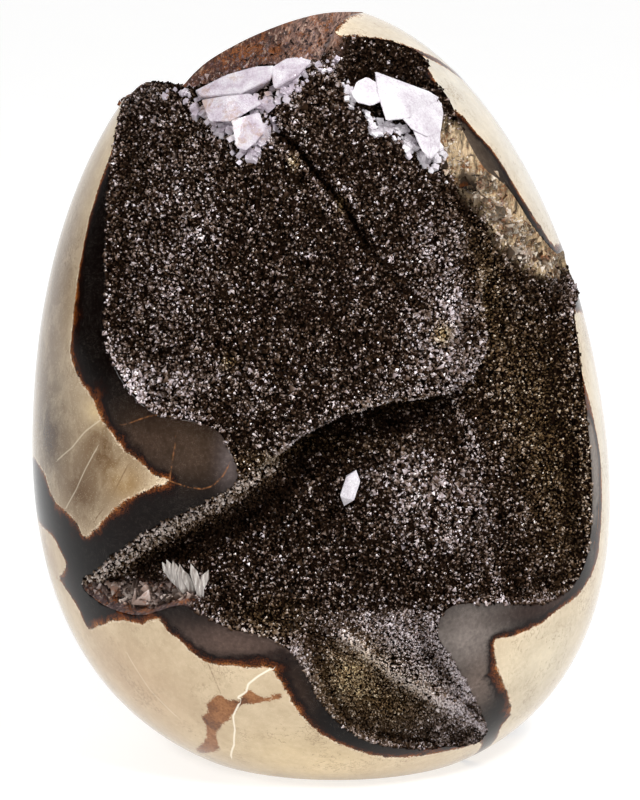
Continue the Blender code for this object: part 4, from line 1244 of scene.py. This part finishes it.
# The floor: one plain pale sheet that the egg stands on.
# It runs far enough back to fill the picture behind the egg.
FLOOR_HALF = 6.0
FLOOR_DROP = 0.0002
floor_corners = np.array([(-1.0, -1.0), (1.0, -1.0), (1.0, 1.0), (-1.0, 1.0)]) * FLOOR_HALF
floor_corners = np.column_stack([floor_corners, np.full(4, -FLOOR_DROP)])
floor = mesh_object("floor", floor_corners, [(0, 1, 2, 3)])
paper, tree, shader = new_material("Pale paper", Roughness=0.6, Emission_Strength=0.68,
                                   Emission_Color=(1.0, 1.0, 1.0, 1.0))
paper_shade = ramp(tree, mottled(tree, 0.05, 0.2), (0.0, 176, 175, 174),
                   (1.0, 180, 179, 178))
feed(tree, shader, Base_Color=paper_shade)
floor.data.materials.append(paper)

# Light: a pale room all round, and soft boxes above on the right, on the left and in front.
# The boxes are bright enough for the crystals' faces to flash in them.
world = bpy.data.worlds.new("Pale room")
world.use_nodes = True
bpy.context.scene.world = world
tree = world.node_tree
room = tree.nodes["Background"]
direction = tree.nodes.new("ShaderNodeTexCoord").outputs["Generated"]
parts = tree.nodes.new("ShaderNodeSeparateXYZ")
tree.links.new(direction, parts.inputs[0])
sides = remapped(tree, parts.outputs["Y"], 0.55, 0.85, 0.05, 1.0)
above = remapped(tree, parts.outputs["Z"], 0.50, 0.90, 0.0, 0.7)
strength = wired(tree, "Math", {0: sides, 1: above}, operation="MAXIMUM")
seen = wired(tree, "LightPath")
strength = wired(tree, "Math", {0: strength, 1: seen}, operation="MAXIMUM")
tree.links.new(strength, room.inputs["Strength"])
room.inputs["Color"].default_value = (1.0, 1.0, 1.0, 1.0)
SOFT_BOXES = [
    ((0.30, -0.50, 0.66), 0.20, 7.5),
    ((-0.50, -0.40, 0.55), 0.16, 2.4),
    ((0.05, -0.80, 0.30), 0.08, 0.8),
]
for at, size, power in SOFT_BOXES:
    lamp = bpy.data.lights.new("soft_box", "AREA")
    lamp.size = size
    lamp.energy = power
    box = bpy.data.objects.new("soft_box", lamp)
    bpy.context.scene.collection.objects.link(box)
    box.location = at
    aim = Vector((0.0, 0.0, 0.065)) - Vector(at)
    box.rotation_euler = aim.to_track_quat("-Z", "Y").to_euler()

# The camera looks at the open front from a little above, through a long lens that shows the
# egg at its real proportions.
VIEW_RISE = math.radians(11.0)
VIEW_DISTANCE = 0.600
VIEW_TARGET = Vector((-0.0003, -0.0015, 0.0613))
VIEW_HEIGHT = 0.140
SENSOR = 36.0
camera = bpy.data.objects.new("Camera", bpy.data.cameras.new("Camera"))
bpy.context.scene.collection.objects.link(camera)
view_back = Vector((0.0, -math.cos(VIEW_RISE), math.sin(VIEW_RISE)))
camera.location = VIEW_TARGET + view_back * VIEW_DISTANCE
camera.rotation_euler = view_back.to_track_quat("Z", "Y").to_euler()
camera.data.sensor_width = SENSOR
camera.data.lens = SENSOR * VIEW_DISTANCE / VIEW_HEIGHT
camera.data.clip_start = 0.01
bpy.context.scene.camera = camera
bpy.context.scene.view_settings.view_transform = "Standard"
